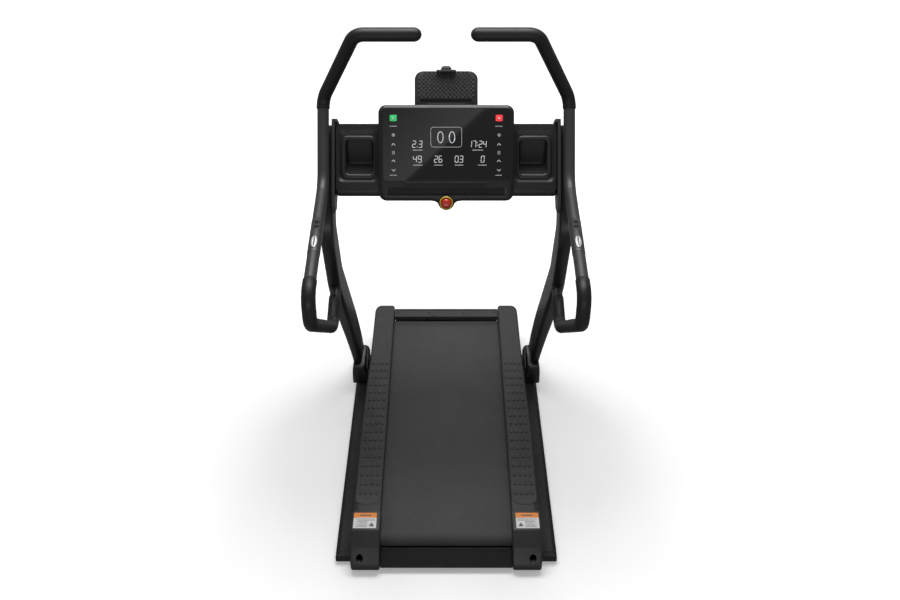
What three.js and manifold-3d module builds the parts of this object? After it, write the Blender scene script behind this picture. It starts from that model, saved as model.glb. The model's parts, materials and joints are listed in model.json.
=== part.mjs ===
// Compact incline treadmill: low floor frame, inclining walking deck, curved uprights,
// console with cup holders and tablet rest, and looped handlebars.
// Millimetres, +Z up, walking direction +Y, origin on the floor under the middle of the object.
import * as THREE from 'three';
import { mergeVertices } from 'three/addons/utils/BufferGeometryUtils.js';
import Module from 'manifold-3d';

const wasm = await Module();
wasm.setup();

// ---------------------------------------------------------------- driving dimensions
const GAP = 0.3;                       // running space left between touching pieces
const degrees = THREE.MathUtils.degToRad;

// Floor frame
const RAIL_IN = 305;                   // floor rails, inner and outer faces
const RAIL_OUT = 352;
const RAIL_BOTTOM = 8;
const RAIL_TOP = 40;
const RAIL_BACK = -572;
const RAIL_FRONT = 460;
const RAIL_WALL = 3;
const RAIL_MIDDLE = (RAIL_IN + RAIL_OUT) / 2;
const REAR_BEAM = { back: -455, front: -420, top: 28 };
const FRONT_BEAM = { back: 235, front: 275, top: 38 };
const FOOT_RADIUS = 19;
const FOOT_Y = [-525, 425];            // rear and front pairs of rubber feet
const WHEEL = { y: 397, z: 31, radius: 28, inner: 274, outer: 299, axleRadius: 5.4, boreRadius: 6.2 };

// Deck, drawn level about its rear hinge and then sloped
const HINGE = { y: -560, z: 28, pinRadius: 8, holeRadius: 8.6 };
const DECK_SLOPE = degrees(2.6);
const BELT_TOP = 69;                   // walking surface above the hinge line
const BELT_HALF = 220;
const BELT_THICKNESS = 1.7;
const ROLLER_RADIUS = 23;
const ROLLER_HALF = 214;
const SHAFT_RADIUS = 7;
const SHAFT_END = 250;
const ROLLER_Z = BELT_TOP - BELT_THICKNESS - GAP - ROLLER_RADIUS;
const REAR_ROLLER_Y = 17;
const FRONT_ROLLER_Y = 1104;
const COVER_IN = 210;                  // plastic side rails of the deck
const COVER_OUT = 300;
const COVER_TOP = BELT_TOP + 25;
const COVER_WALL = 3;
const COVER_FRONT = 1194;
const COVER_TIP_OUT = 291;             // outer face of the side rails at their front end
const CAP_FRONT = 85;                  // where the rear end caps stop and the side rails start
const CAP_IN = 208;
const CAP_FLANGE = 223;
const ADJUSTER_X = 272;
const ADJUSTER_Z = 34;
const TUBE_IN = 230;                   // steel side tubes of the deck
const TUBE_OUT = 262;
const TUBE_TOP = 42;
const BOARD_HALF = 258;
const BOARD_THICKNESS = 16;
const MOTOR = { y: 1137, z: -8, radius: 33, left: -150, right: 120, collar: 12 };
const PULLEY = { left: 265, right: 284, small: 12, large: 30, clear: 1 };
const CROSS = { back: 1062, front: 1102, bottom: -36, top: 4 };
const INLET = { x: -180, z: -28, half: 10, height: 6.5 };

// Incline actuator, drawn along +Y from its lower pivot and then tilted
const LIFT_PIVOT = { y: 295, z: 32 };
const LIFT_EYE = { y: 1020, z: -15 };  // the rod's eye, in the deck's own frame
const BARREL = { radius: 18, start: 20, length: 126, bore: 8.7 };
const ROD_RADIUS = 8;
const EYE_RADIUS = 12;
const LIFT_LUG = 13;                   // inner face of the lugs either side of the barrel's eye
const LIFT_PIN_RADIUS = 5;

// Uprights
const UPRIGHT_WIDTH = 43;
const UPRIGHT_DEPTH = 110;
const SLEEVE_TOP = 126;
const SLEEVE_BACK = 280;
const SLEEVE_FRONT = 462;

// Handlebars
const BAR_X = 376;
const BAR_RADIUS = 18.2;
const FOAM_RADIUS = 20.5;
const FOAM_BORE = 19.2;
const BAR_SIDES = 10;
const BAR_BEND_STEPS = 3;
const BAR_TIP_X = 92;
const HORN = { y: 26, z: 1513 };         // centre line of the level upper grips

// Cross panel, drawn upright with its lower edge at z = 0 and then leaned back
const PANEL = { y: 10.5, z: 1008, lean: degrees(34.1), half: 346.6, height: 224 };
const PANEL_SPLIT = 40;
const PANEL_BACK = 84;
const BEAM = { back: 31, front: 60, bottom: 16, top: 56 };
const CUP = { left: 227, right: 316, bottom: 64, top: 175, depth: 62, wall: 2.5, rim: 5, lip: 3 };
const RECESS = { left: 207, right: 340, bottom: 41, top: 204, depth: 8, wall: 4 };

// Console, drawn upright with its lower edge at z = 0 and then leaned back
const CONSOLE = { y: -8.5, z: 997, lean: degrees(26.4), half: 209.5, height: 294, depth: 44 };
const BEZEL_DEPTH = 9;
const GLASS = { half: 203, bottom: 34, top: 288 };
const STOP_PROUD = 4;
const LOBE = { half: 27, bottom: -29 };
const STOP = { z: -6, ring: 21, dome: 15, drop: degrees(8), boreDepth: 24 };
const CLIP = { stem: 10, jaw: 24, slot: 62 };
const TABLET = { half: 98.5, back: 169.5, z: 1243, height: 103, lean: degrees(34), thickness: 9, tail: 28 };

// ---------------------------------------------------------------- materials
const finish = (color, roughness, metalness = 0) =>
  () => new THREE.MeshStandardMaterial({ color, roughness, metalness });
const frameBlack = finish(0x2c2d2f, 0.5, 0.6);
const steelGrey = finish(0x8a8d90, 0.35, 0.9);
const railPlastic = finish(0x3e3f40, 0.65);
const panelPlastic = finish(0x242526, 0.5);
const glossBlack = finish(0x101112, 0.12);
const foamBlack = finish(0x1e1f20, 0.9);
const rubberBlack = finish(0x18191a, 0.85);
const beltBlack = finish(0x3a3b3c, 0.85);
const boardBrown = finish(0x6e5a42, 0.7);
const motorGrey = finish(0x4c5054, 0.45, 0.6);
const sensorSilver = finish(0xc4c6c8, 0.25, 0.95);
const safetyYellow = finish(0xd9c21c, 0.4);
const safetyRed = finish(0xc62818, 0.35);

// ---------------------------------------------------------------- shape helpers
// A closed outline from a list of [a, b] corners.
function outline(points) {
  return new THREE.Shape(points.map(([a, b]) => new THREE.Vector2(a, b)));
}

// A rectangle a0..a1 by b0..b1 with corners of one radius.
function roundedRectangle(a0, b0, a1, b1, r) {
  const shape = new THREE.Shape();
  shape.moveTo(a0 + r, b0);
  shape.lineTo(a1 - r, b0);
  shape.absarc(a1 - r, b0 + r, r, -Math.PI / 2, 0);
  shape.lineTo(a1, b1 - r);
  shape.absarc(a1 - r, b1 - r, r, 0, Math.PI / 2);
  shape.lineTo(a0 + r, b1);
  shape.absarc(a0 + r, b1 - r, r, Math.PI / 2, Math.PI);
  shape.lineTo(a0, b0 + r);
  shape.absarc(a0 + r, b0 + r, r, Math.PI, Math.PI * 1.5);
  return shape;
}

// Outlines drawn in the plane across an axis, carried along that axis from start to end.
function alongX(shape, start, end, curveSegments = 4) {
  const geometry = new THREE.ExtrudeGeometry(shape, { depth: end - start, bevelEnabled: false, curveSegments });
  const turn = new THREE.Matrix4().makeBasis(
    new THREE.Vector3(0, 1, 0), new THREE.Vector3(0, 0, 1), new THREE.Vector3(1, 0, 0));
  return geometry.applyMatrix4(turn).translate(start, 0, 0);
}

function alongY(shape, start, end, curveSegments = 4) {
  const geometry = new THREE.ExtrudeGeometry(shape, { depth: end - start, bevelEnabled: false, curveSegments });
  return geometry.rotateX(Math.PI / 2).translate(0, end, 0);
}

function alongZ(shape, start, end, curveSegments = 4) {
  const geometry = new THREE.ExtrudeGeometry(shape, { depth: end - start, bevelEnabled: false, curveSegments });
  return geometry.translate(0, 0, start);
}

// A block between two corners.
function block(x0, x1, y0, y1, z0, z1) {
  const geometry = new THREE.BoxGeometry(x1 - x0, y1 - y0, z1 - z0);
  return geometry.translate((x0 + x1) / 2, (y0 + y1) / 2, (z0 + z1) / 2);
}

// Round bars along each axis; y and z (or x) give the centre.
function rodX(radius, x0, x1, y, z, sides = 16) {
  const geometry = new THREE.CylinderGeometry(radius, radius, x1 - x0, sides);
  return geometry.rotateZ(-Math.PI / 2).translate((x0 + x1) / 2, y, z);
}

function rodY(radius, y0, y1, x, z, sides = 16) {
  const geometry = new THREE.CylinderGeometry(radius, radius, y1 - y0, sides);
  return geometry.translate(x, (y0 + y1) / 2, z);
}

// A closed loop of belt around two wheels, as an outline in the (y, z) plane.
function loopAround(a, b, radiusA, radiusB, arcSteps) {
  const along = Math.atan2(b.z - a.z, b.y - a.y);
  const distance = Math.hypot(b.y - a.y, b.z - a.z);
  const spread = Math.acos((radiusA - radiusB) / distance);
  const points = [];
  const arc = (centre, radius, from, to) => {
    for (let i = 0; i <= arcSteps; i += 1) {
      const angle = from + (to - from) * i / arcSteps;
      points.push([centre.y + radius * Math.cos(angle), centre.z + radius * Math.sin(angle)]);
    }
  };
  arc(a, radiusA, along + spread, along + 2 * Math.PI - spread);
  arc(b, radiusB, along - spread, along + spread);
  return points;
}

// ---------------------------------------------------------------- joining and cutting
function solid(geometry) {
  const bare = geometry.index ? geometry.toNonIndexed() : geometry.clone();
  bare.deleteAttribute('normal');
  bare.deleteAttribute('uv');
  const merged = mergeVertices(bare, 1e-3);
  return new wasm.Manifold(new wasm.Mesh({
    numProp: 3,
    vertProperties: new Float32Array(merged.attributes.position.array),
    triVerts: new Uint32Array(merged.index.array),
  }));
}

function join(...geometries) {
  return geometries.map(solid).reduce((whole, piece) => whole.add(piece));
}

function cut(whole, ...tools) {
  return tools.map(solid).reduce((rest, tool) => rest.subtract(tool), whole);
}

function common(...geometries) {
  return geometries.map(solid).reduce((whole, piece) => whole.intersect(piece));
}

function geometryOf(manifold) {
  const { vertProperties, triVerts } = manifold.getMesh();
  const geometry = new THREE.BufferGeometry();
  geometry.setAttribute('position', new THREE.BufferAttribute(new Float32Array(vertProperties), 3));
  geometry.setIndex(new THREE.BufferAttribute(new Uint32Array(triVerts), 1));
  return geometry;
}

// ---------------------------------------------------------------- bent tubes
// A path through corner points, with each inner corner rounded to its own radius. It has
// stations only at its ends and round its bends, so straight runs cost no extra steps.
class BentPath extends THREE.Curve {
  constructor(corners, stepsPerBend = 5) {
    super();
    this.stations = [];
    const points = corners.map(([x, y, z]) => new THREE.Vector3(x, y, z));
    const direction = (i) => points[i + 1].clone().sub(points[i]).normalize();
    this.stations.push({ at: points[0], along: direction(0) });
    for (let i = 1; i < points.length - 1; i += 1) {
      this.addBend(points[i], direction(i - 1), direction(i), corners[i][3], stepsPerBend);
    }
    this.stations.push({ at: points.at(-1), along: direction(points.length - 2) });
    this.steps = this.stations.length - 1;
  }

  addBend(corner, before, after, radius, steps) {
    const turn = before.angleTo(after);
    const start = corner.clone().addScaledVector(before, -radius * Math.tan(turn / 2));
    const axis = before.clone().cross(after).normalize();
    const centre = axis.clone().cross(before).multiplyScalar(radius).add(start);
    for (let i = 0; i <= steps; i += 1) {
      const angle = turn * i / steps;
      const arm = start.clone().sub(centre).applyAxisAngle(axis, angle);
      this.stations.push({ at: centre.clone().add(arm), along: before.clone().applyAxisAngle(axis, angle) });
    }
  }

  nearest(t) {
    return this.stations[Math.round(t * this.steps)];
  }

  getPoint(t, target = new THREE.Vector3()) {
    return target.copy(this.nearest(t).at);
  }

  getPointAt(u, target) {
    return this.getPoint(u, target);
  }

  getTangent(t, target = new THREE.Vector3()) {
    return target.copy(this.nearest(t).along);
  }

  getTangentAt(u, target) {
    return this.getTangent(u, target);
  }

  getSpacedPoints(divisions) {
    return this.getPoints(divisions);
  }
}

function ring(outer, outerSides, inner, innerSides) {
  const circle = (radius, sides) => Array.from({ length: sides }, (_, i) => {
    const angle = 2 * Math.PI * i / sides;
    return new THREE.Vector2(radius * Math.cos(angle), radius * Math.sin(angle));
  });
  const shape = new THREE.Shape(circle(outer, outerSides));
  shape.holes.push(new THREE.Path(circle(inner, innerSides)));
  return shape;
}

function sweep(section, path, curveSegments = 3) {
  return new THREE.ExtrudeGeometry(section, {
    steps: path.steps, extrudePath: path, bevelEnabled: false, curveSegments,
  });
}

// ---------------------------------------------------------------- assembly helpers
const treadmill = new THREE.Group();
const SIDES = [['left', -1], ['right', 1]];

function add(parent, name, shape, material) {
  const geometry = shape.isBufferGeometry ? shape : geometryOf(shape);
  const mesh = new THREE.Mesh(geometry, material());
  mesh.name = name;
  parent.add(mesh);
  return mesh;
}

// One piece drawn on the +X side and its mirror image on the -X side.
function addPair(parent, name, makeShape, material) {
  for (const [side, sign] of SIDES) {
    add(parent, `${name}_${side}`, makeShape(), material).scale.x = sign;
  }
}

// ---------------------------------------------------------------- floor frame
function railOutline(inset) {
  const bevel = 13;
  return outline([
    [RAIL_IN + inset, RAIL_BOTTOM + inset],
    [RAIL_OUT - inset, RAIL_BOTTOM + inset],
    [RAIL_OUT - inset, RAIL_TOP - bevel - inset * 0.4],
    [RAIL_OUT - bevel - inset * 0.4, RAIL_TOP - inset],
    [RAIL_IN + inset, RAIL_TOP - inset],
  ]);
}

function floorFrame() {
  const rail = solid(alongY(railOutline(0), RAIL_BACK, RAIL_FRONT));
  const axle = solid(rodX(WHEEL.axleRadius, WHEEL.inner - 6, RAIL_IN + 1, WHEEL.y, WHEEL.z));
  const side = rail.add(axle);
  const core = alongY(railOutline(RAIL_WALL), RAIL_BACK - 1, RAIL_FRONT + 1);
  const bore = rodX(HINGE.holeRadius, RAIL_IN - 1, RAIL_IN + RAIL_WALL + 1, HINGE.y, HINGE.z);
  const half = side.subtract(solid(core)).subtract(solid(bore));
  let frame = half.add(half.mirror([1, 0, 0]));
  for (const beam of [REAR_BEAM, FRONT_BEAM]) {
    const tube = block(-RAIL_IN - 1, RAIL_IN + 1, beam.back, beam.front, RAIL_BOTTOM, beam.top);
    const hollow = block(-RAIL_IN - RAIL_WALL - 1, RAIL_IN + RAIL_WALL + 1,
      beam.back + RAIL_WALL, beam.front - RAIL_WALL, RAIL_BOTTOM + RAIL_WALL, beam.top - RAIL_WALL);
    frame = frame.add(solid(tube)).subtract(solid(hollow));
  }
  // Two lugs and a pin that carry the lower end of the incline actuator.
  const lug = solid(alongX(outline([
    [FRONT_BEAM.front - 1, 12], [LIFT_PIVOT.y + 12, 16], [LIFT_PIVOT.y + 12, LIFT_PIVOT.z + 12],
    [LIFT_PIVOT.y - 8, LIFT_PIVOT.z + 12], [FRONT_BEAM.front - 1, FRONT_BEAM.top],
  ]), LIFT_LUG, LIFT_LUG + 5));
  const pin = solid(rodX(LIFT_PIN_RADIUS, -LIFT_LUG - 1, LIFT_LUG + 1, LIFT_PIVOT.y, LIFT_PIVOT.z, 12));
  return frame.add(lug).add(lug.mirror([1, 0, 0])).add(pin);
}

function railEndCap() {
  const plug = alongX(outline([
    [RAIL_BACK - 13, RAIL_BOTTOM], [RAIL_BACK - GAP, RAIL_BOTTOM],
    [RAIL_BACK - GAP, RAIL_TOP], [RAIL_BACK - 13, RAIL_TOP - 7],
  ]), RAIL_IN, RAIL_OUT);
  return common(plug, alongY(railOutline(0), RAIL_BACK - 20, RAIL_BACK));
}

add(treadmill, 'base_frame', floorFrame(), frameBlack);
addPair(treadmill, 'rail_end_cap', railEndCap, rubberBlack);
FOOT_Y.forEach((y, i) => addPair(treadmill, `rubber_foot_${['rear', 'front'][i]}`, () => {
  const foot = new THREE.CylinderGeometry(FOOT_RADIUS, FOOT_RADIUS + 1, RAIL_BOTTOM - GAP, 16);
  return foot.rotateX(Math.PI / 2).translate(RAIL_MIDDLE, y, (RAIL_BOTTOM - GAP) / 2);
}, rubberBlack));
addPair(treadmill, 'transport_wheel', () => cut(
  join(rodX(WHEEL.radius, WHEEL.inner, WHEEL.outer, WHEEL.y, WHEEL.z, 20)),
  rodX(WHEEL.boreRadius, WHEEL.inner - 1, WHEEL.outer + 1, WHEEL.y, WHEEL.z),
), rubberBlack);

// ---------------------------------------------------------------- uprights
// Centre line of an upright: out from the foot, back towards the user, then forward again.
const UPRIGHT_LINE = [
  [333, 392, 40],
  [340, 352, 148, 500],
  [364, 266, 369, 700],
  [381, 130, 625, 420],
  [381, 38, 868, 95],
  [381, 215, 1143],
];

const uprightPath = () => new BentPath(UPRIGHT_LINE, 2);

// The tube is slimmer towards its foot: below `top` its sides close in on the plane at x.
const SLIMMING = { top: 369, bottom: 148, x: 354, share: 0.26 };
function slimmed(geometry) {
  const { position } = geometry.attributes;
  for (let i = 0; i < position.count; i += 1) {
    const drop = (SLIMMING.top - position.getZ(i)) / (SLIMMING.top - SLIMMING.bottom);
    const share = SLIMMING.share * THREE.MathUtils.clamp(drop, 0, 1);
    position.setX(i, THREE.MathUtils.lerp(position.getX(i), SLIMMING.x, share));
  }
  return geometry;
}

function uprightSection(grow) {
  const a = UPRIGHT_DEPTH / 2 + grow;
  const b = UPRIGHT_WIDTH / 2 + grow;
  return roundedRectangle(-b, -a, b, a, 12 + grow);
}

function upright() {
  const wall = 3;
  const section = uprightSection(0);
  const a = UPRIGHT_DEPTH / 2 - wall;
  const b = UPRIGHT_WIDTH / 2 - wall;
  section.holes.push(new THREE.Path([
    [-b, -a + 8], [-b + 8, -a], [b - 8, -a], [b, -a + 8],
    [b, a - 8], [b - 8, a], [-b + 8, a], [-b, a - 8],
  ].map(([x, y]) => new THREE.Vector2(x, y))));
  const aboveRail = block(200, 500, -400, 600, RAIL_TOP + GAP, 1400);
  const tube = solid(slimmed(sweep(section, uprightPath(), 2))).intersect(solid(aboveRail));
  const [bend, end] = UPRIGHT_LINE.slice(-2).map(([x, y, z]) => new THREE.Vector3(x, y, z));
  const lid = new BentPath([end.clone().lerp(bend, 0.02).toArray(), end.toArray()]);
  return tube.add(solid(sweep(uprightSection(0), lid, 2)));
}

// The room an upright takes, for pieces that fit round it or butt against it.
const uprightRoom = () => slimmed(sweep(uprightSection(0.6), uprightPath(), 2));

// Moulded sleeve over the foot of an upright, with a low gusset on its inner side.
function footSleeve() {
  const side = outline([
    [SLEEVE_BACK, RAIL_TOP + GAP], [SLEEVE_BACK, SLEEVE_TOP - 5], [SLEEVE_BACK + 5, SLEEVE_TOP],
    [SLEEVE_FRONT - 32, SLEEVE_TOP], [SLEEVE_FRONT, 66], [SLEEVE_FRONT, RAIL_TOP + GAP],
  ]);
  const plan = roundedRectangle(RAIL_IN, SLEEVE_BACK, 364, SLEEVE_FRONT, 9);
  const gusset = alongX(outline([
    [SLEEVE_BACK + 4, RAIL_TOP + GAP], [SLEEVE_FRONT - 40, RAIL_TOP + GAP], [SLEEVE_FRONT - 40, 100],
    [382, 146], [330, 148], [SLEEVE_BACK + 4, 118],
  ]), 303.5, 308.5);
  return cut(common(alongX(side, 300, 380), alongZ(plan, 0, 200, 3)).add(solid(gusset)), uprightRoom());
}

addPair(treadmill, 'upright', upright, frameBlack);
addPair(treadmill, 'foot_sleeve', footSleeve, panelPlastic);

// ---------------------------------------------------------------- handlebars
// Corner points of a handlebar, [x, y, z, bend radius], from the upright to the horn's tip.
const BAR_LINE = [
  [BAR_X, 100, 624],
  [BAR_X, -70, 558, 80],
  [BAR_X, -499, 874, 60],
  [BAR_X, -499, 967, 45],
  [BAR_X, -27, 1063, 110],
  [BAR_X, 118, 1282, 50],
  [262, HORN.y, HORN.z, 42],
  [BAR_TIP_X + 4, HORN.y, HORN.z],
];

// A point part of the way from one corner of the bar to the next.
function barPoint(corner, fraction) {
  const from = BAR_LINE[corner];
  const to = BAR_LINE[corner + 1];
  return [0, 1, 2].map((k) => from[k] + (to[k] - from[k]) * fraction);
}

const LOWER_FOAM = [barPoint(0, 0.34), BAR_LINE[1], BAR_LINE[2], BAR_LINE[3], barPoint(3, 0.13)];
const UPPER_FOAM = [barPoint(4, 0.88), BAR_LINE[5], BAR_LINE[6], [BAR_TIP_X, HORN.y, HORN.z]];

function foam(corners) {
  return sweep(ring(FOAM_RADIUS, BAR_SIDES, FOAM_BORE, BAR_SIDES), new BentPath(corners, BAR_BEND_STEPS));
}

// The horn's foam closes over the end of the bar in a dome.
function hornFoam() {
  const dome = new THREE.LatheGeometry([
    new THREE.Vector2(0, 0),
    new THREE.Vector2(FOAM_RADIUS, 0),
    new THREE.Vector2(FOAM_RADIUS * 0.87, 10),
    new THREE.Vector2(FOAM_RADIUS * 0.5, 17.5),
    new THREE.Vector2(0, 20),
  ], BAR_SIDES);
  const [x, y, z] = UPPER_FOAM.at(-1);
  return join(foam(UPPER_FOAM), dome.rotateZ(Math.PI / 2).translate(x + 2, y, z));
}

// The bar's lower end butts against the rear of the upright.
function handleTube() {
  const section = ring(BAR_RADIUS, BAR_SIDES, BAR_RADIUS - 1.5, BAR_SIDES / 2);
  return cut(join(sweep(section, new BentPath(BAR_LINE, BAR_BEND_STEPS))), uprightRoom());
}

addPair(treadmill, 'handle_tube', handleTube, frameBlack);
addPair(treadmill, 'lower_grip', () => foam(LOWER_FOAM), foamBlack);
addPair(treadmill, 'upper_grip', hornFoam, foamBlack);

// Controls on top of the straight run of the loop: a pulse sensor and two buttons.
const [RUN_START, RUN_END] = [BAR_LINE[3], BAR_LINE[4]];
const BAR_RUN_SLOPE = Math.atan2(RUN_END[2] - RUN_START[2], RUN_END[1] - RUN_START[1]);
function onBar(geometry, fraction) {
  const [x, y, z] = barPoint(3, fraction);
  return geometry.rotateX(BAR_RUN_SLOPE).translate(x, y, z);
}

function pulseSensor() {
  const halfLength = 26;
  const plan = new THREE.Shape().absellipse(0, 0, 9, halfLength, 0, 2 * Math.PI);
  const pad = solid(alongZ(plan, BAR_RADIUS - 8, BAR_RADIUS + 4, 6));
  const clear = solid(rodY(BAR_RADIUS + GAP, -halfLength - 5, halfLength + 5, 0, 0, 28));
  const groove = solid(block(-0.8, 0.8, -halfLength, halfLength, BAR_RADIUS + 2.6, BAR_RADIUS + 6));
  return onBar(geometryOf(pad.subtract(clear).subtract(groove)), 0.42);
}

function barButton(fraction) {
  const cap = new THREE.CylinderGeometry(5.5, 6, 4, 14).rotateX(Math.PI / 2);
  return onBar(cap.translate(0, 0, BAR_RADIUS + 2 + 2), fraction);
}

addPair(treadmill, 'pulse_sensor', pulseSensor, sensorSilver);
addPair(treadmill, 'rear_button', () => barButton(0.56), rubberBlack);
addPair(treadmill, 'front_button', () => barButton(0.6), rubberBlack);

// ---------------------------------------------------------------- cross panel and cup holders
const panel = new THREE.Group();
panel.position.set(0, PANEL.y, PANEL.z);
panel.rotation.x = -PANEL.lean;
treadmill.add(panel);

// Plate between the panel's end, the handlebar and the upright, with a small lip on top.
function sideBracket() {
  const plate = alongX(outline([
    [-8, -42], [14, -70], [66, -44], [96, 60], [92, PANEL.height - 20],
    [60, PANEL.height + 12], [-14, PANEL.height + 12], [-14, 0],
  ]), PANEL.half + GAP, 356.6);
  const lip = block(PANEL.half - 8, 356.6, -14, 44, PANEL.height + GAP, PANEL.height + 12);
  return join(plate, lip);
}

// The space the console fills, seen from the cross panel.
function consoleEnvelope() {
  const clear = 0.5;
  const tray = block(-CONSOLE.half - clear, CONSOLE.half + clear, -clear, CONSOLE.depth + clear,
    -clear, CONSOLE.height + clear);
  tray.rotateX(-CONSOLE.lean).translate(0, CONSOLE.y, CONSOLE.z);
  return tray.translate(0, -PANEL.y, -PANEL.z).rotateX(PANEL.lean);
}

// Moulded front: a tray open behind, with a sunk pan and a window for each cup holder.
function crossPanel() {
  const wall = 4;
  const outer = alongY(roundedRectangle(-PANEL.half, 0, PANEL.half, PANEL.height, 10), 0, PANEL_SPLIT, 3);
  const inner = alongY(roundedRectangle(-PANEL.half + wall, wall, PANEL.half - wall, PANEL.height - wall, 7),
    wall, PANEL_SPLIT + 1, 3);
  const clear = CUP.wall + GAP;
  let tray = cut(join(outer), inner);
  for (const [, sign] of SIDES) {
    const across = (left, right, ...rest) =>
      block(Math.min(sign * left, sign * right), Math.max(sign * left, sign * right), ...rest);
    const { left, right, bottom, top, depth, wall: edge } = RECESS;
    const pan = across(left - edge, right + edge, 1, depth + edge, bottom - edge, top + edge);
    tray = tray.add(solid(pan)).subtract(solid(across(left, right, -1, depth, bottom, top)));
    tray = tray.subtract(solid(across(CUP.left - clear, CUP.right + clear, 0, depth + edge + 1,
      CUP.bottom - clear, CUP.top + clear)));
  }
  return cut(tray, consoleEnvelope());
}

// Moulded back: a narrower tray, open in front and notched at its ends for the beam.
function crossPanelBack() {
  const wall = 3;
  const inset = 10;
  const start = PANEL_SPLIT + GAP;
  const tray = (margin, from, to) => alongY(roundedRectangle(-PANEL.half + margin, margin,
    PANEL.half - margin, PANEL.height - margin, 8), from, to, 3);
  const notch = block(-PANEL.half, PANEL.half, start - 1, BEAM.front + GAP,
    BEAM.bottom - GAP, BEAM.top + GAP);
  return cut(join(tray(inset, start, PANEL_BACK)), tray(inset + wall, start - 1, PANEL_BACK - wall), notch);
}

// A flanged pocket with a level floor and an upright back wall, so that a bottle stands in it.
function cupLiner() {
  const { left, right, bottom, top, depth, wall, rim, lip } = CUP;
  const front = RECESS.depth - GAP - lip;
  const rise = Math.tan(PANEL.lean);
  const heel = bottom + depth * rise;
  const well = (from, sill, grow) => {
    const back = front + depth + grow;
    return outline([
      [from, bottom - grow], [sill, bottom - grow], [back, heel - grow], [back, heel + grow],
      [back - (top - heel) * rise, top + grow], [from, top + grow],
    ]);
  };
  const flange = block(left - rim, right + rim, front, front + lip, bottom - rim, top + rim);
  const pocket = alongX(well(front + 1, front + 2, wall), left - wall, right + wall);
  return cut(join(pocket, flange), alongX(well(front - 5, front, 0), left, right));
}

// Steel beam between the two side brackets, inside the cross panel's covers.
function crossBeam() {
  const half = PANEL.half - 4 - GAP;
  const tube = block(-half, half, BEAM.back, BEAM.front, BEAM.bottom, BEAM.top);
  const hollow = block(-half - 1, half + 1, BEAM.back + 2, BEAM.front - 2, BEAM.bottom + 2, BEAM.top - 2);
  return cut(join(tube), hollow);
}

add(panel, 'cross_panel', crossPanel(), panelPlastic);
add(panel, 'cross_panel_back', crossPanelBack(), panelPlastic);
add(panel, 'cross_beam', crossBeam(), frameBlack);
addPair(panel, 'cup_liner', cupLiner, glossBlack);
addPair(panel, 'side_bracket', sideBracket, panelPlastic);

// ---------------------------------------------------------------- console
const console3d = new THREE.Group();
console3d.position.set(0, CONSOLE.y, CONSOLE.z);
console3d.rotation.x = -CONSOLE.lean;
treadmill.add(console3d);

// Outline of the console with the lobe that carries the stop button below its lower edge.
function consoleOutline(inset) {
  const half = CONSOLE.half - inset;
  const top = CONSOLE.height - inset;
  const bottom = inset;
  const r = 24 - inset;
  const lobe = LOBE.half - inset;
  const shape = new THREE.Shape();
  shape.moveTo(-half + r, bottom);
  shape.lineTo(-lobe - 8, bottom);
  shape.lineTo(-lobe, bottom - 6);
  shape.absarc(0, LOBE.bottom + LOBE.half, lobe, Math.PI, 2 * Math.PI);
  shape.lineTo(lobe, bottom - 6);
  shape.lineTo(lobe + 8, bottom);
  shape.lineTo(half - r, bottom);
  shape.absarc(half - r, bottom + r, r, -Math.PI / 2, 0);
  shape.lineTo(half, top - r);
  shape.absarc(half - r, top - r, r, 0, Math.PI / 2);
  shape.lineTo(-half + r, top);
  shape.absarc(-half + r, top - r, r, Math.PI / 2, Math.PI);
  shape.lineTo(-half, bottom + r);
  shape.absarc(-half + r, bottom + r, r, Math.PI, Math.PI * 1.5);
  return shape;
}

// The stop button's own frame, on the lobe and turned a little towards the floor.
function atStop(geometry) {
  return geometry.rotateX(STOP.drop).translate(0, -STOP_PROUD, STOP.z);
}

const stopBore = () => atStop(rodY(STOP.ring - 4, -40, STOP.boreDepth, 0, 0, 18));

function consoleHousing() {
  const wall = 3;
  const outer = alongY(consoleOutline(0), BEZEL_DEPTH + GAP, CONSOLE.depth, 4);
  const inner = alongY(roundedRectangle(-CONSOLE.half + wall, wall, CONSOLE.half - wall,
    CONSOLE.height - wall, 21), BEZEL_DEPTH, CONSOLE.depth - wall, 4);
  return cut(join(outer), inner, stopBore());
}

function consoleBezel() {
  const face = alongY(consoleOutline(0), 0, BEZEL_DEPTH, 4);
  const glass = alongY(roundedRectangle(-GLASS.half, GLASS.bottom, GLASS.half, GLASS.top, 12), -1, 3, 3);
  const boss = atStop(rodY(STOP.ring + 1.5, -2, 12, 0, 0, 18));
  const trimmed = common(boss, block(-60, 60, -30, BEZEL_DEPTH, -80, 40));
  return cut(join(face), glass).add(trimmed).subtract(solid(stopBore()));
}

function displayGlass() {
  return alongY(roundedRectangle(-GLASS.half + GAP, GLASS.bottom + GAP, GLASS.half - GAP,
    GLASS.top - GAP, 12), -0.4, 3 - GAP, 3);
}

function stopRing() {
  const band = atStop(rodY(STOP.ring, -6, -2 - GAP, 0, 0, 18));
  return cut(join(band), atStop(rodY(STOP.ring - 4, -10, 10, 0, 0, 18)));
}

function stopButton() {
  const radius = STOP.dome;
  const dome = new THREE.LatheGeometry([
    new THREE.Vector2(0, -4), new THREE.Vector2(10, -4), new THREE.Vector2(10, 7),
    new THREE.Vector2(radius, 8.5), new THREE.Vector2(radius, 12), new THREE.Vector2(radius * 0.86, 16),
    new THREE.Vector2(radius * 0.5, 19), new THREE.Vector2(0, 20),
  ], 16);
  return atStop(dome.rotateX(Math.PI));
}

add(console3d, 'console_housing', consoleHousing(), panelPlastic);
add(console3d, 'console_bezel', consoleBezel(), panelPlastic);
add(console3d, 'display_glass', displayGlass(), glossBlack);
add(console3d, 'stop_ring', stopRing(), safetyYellow);
add(console3d, 'stop_button', stopButton(), safetyRed);

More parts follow.
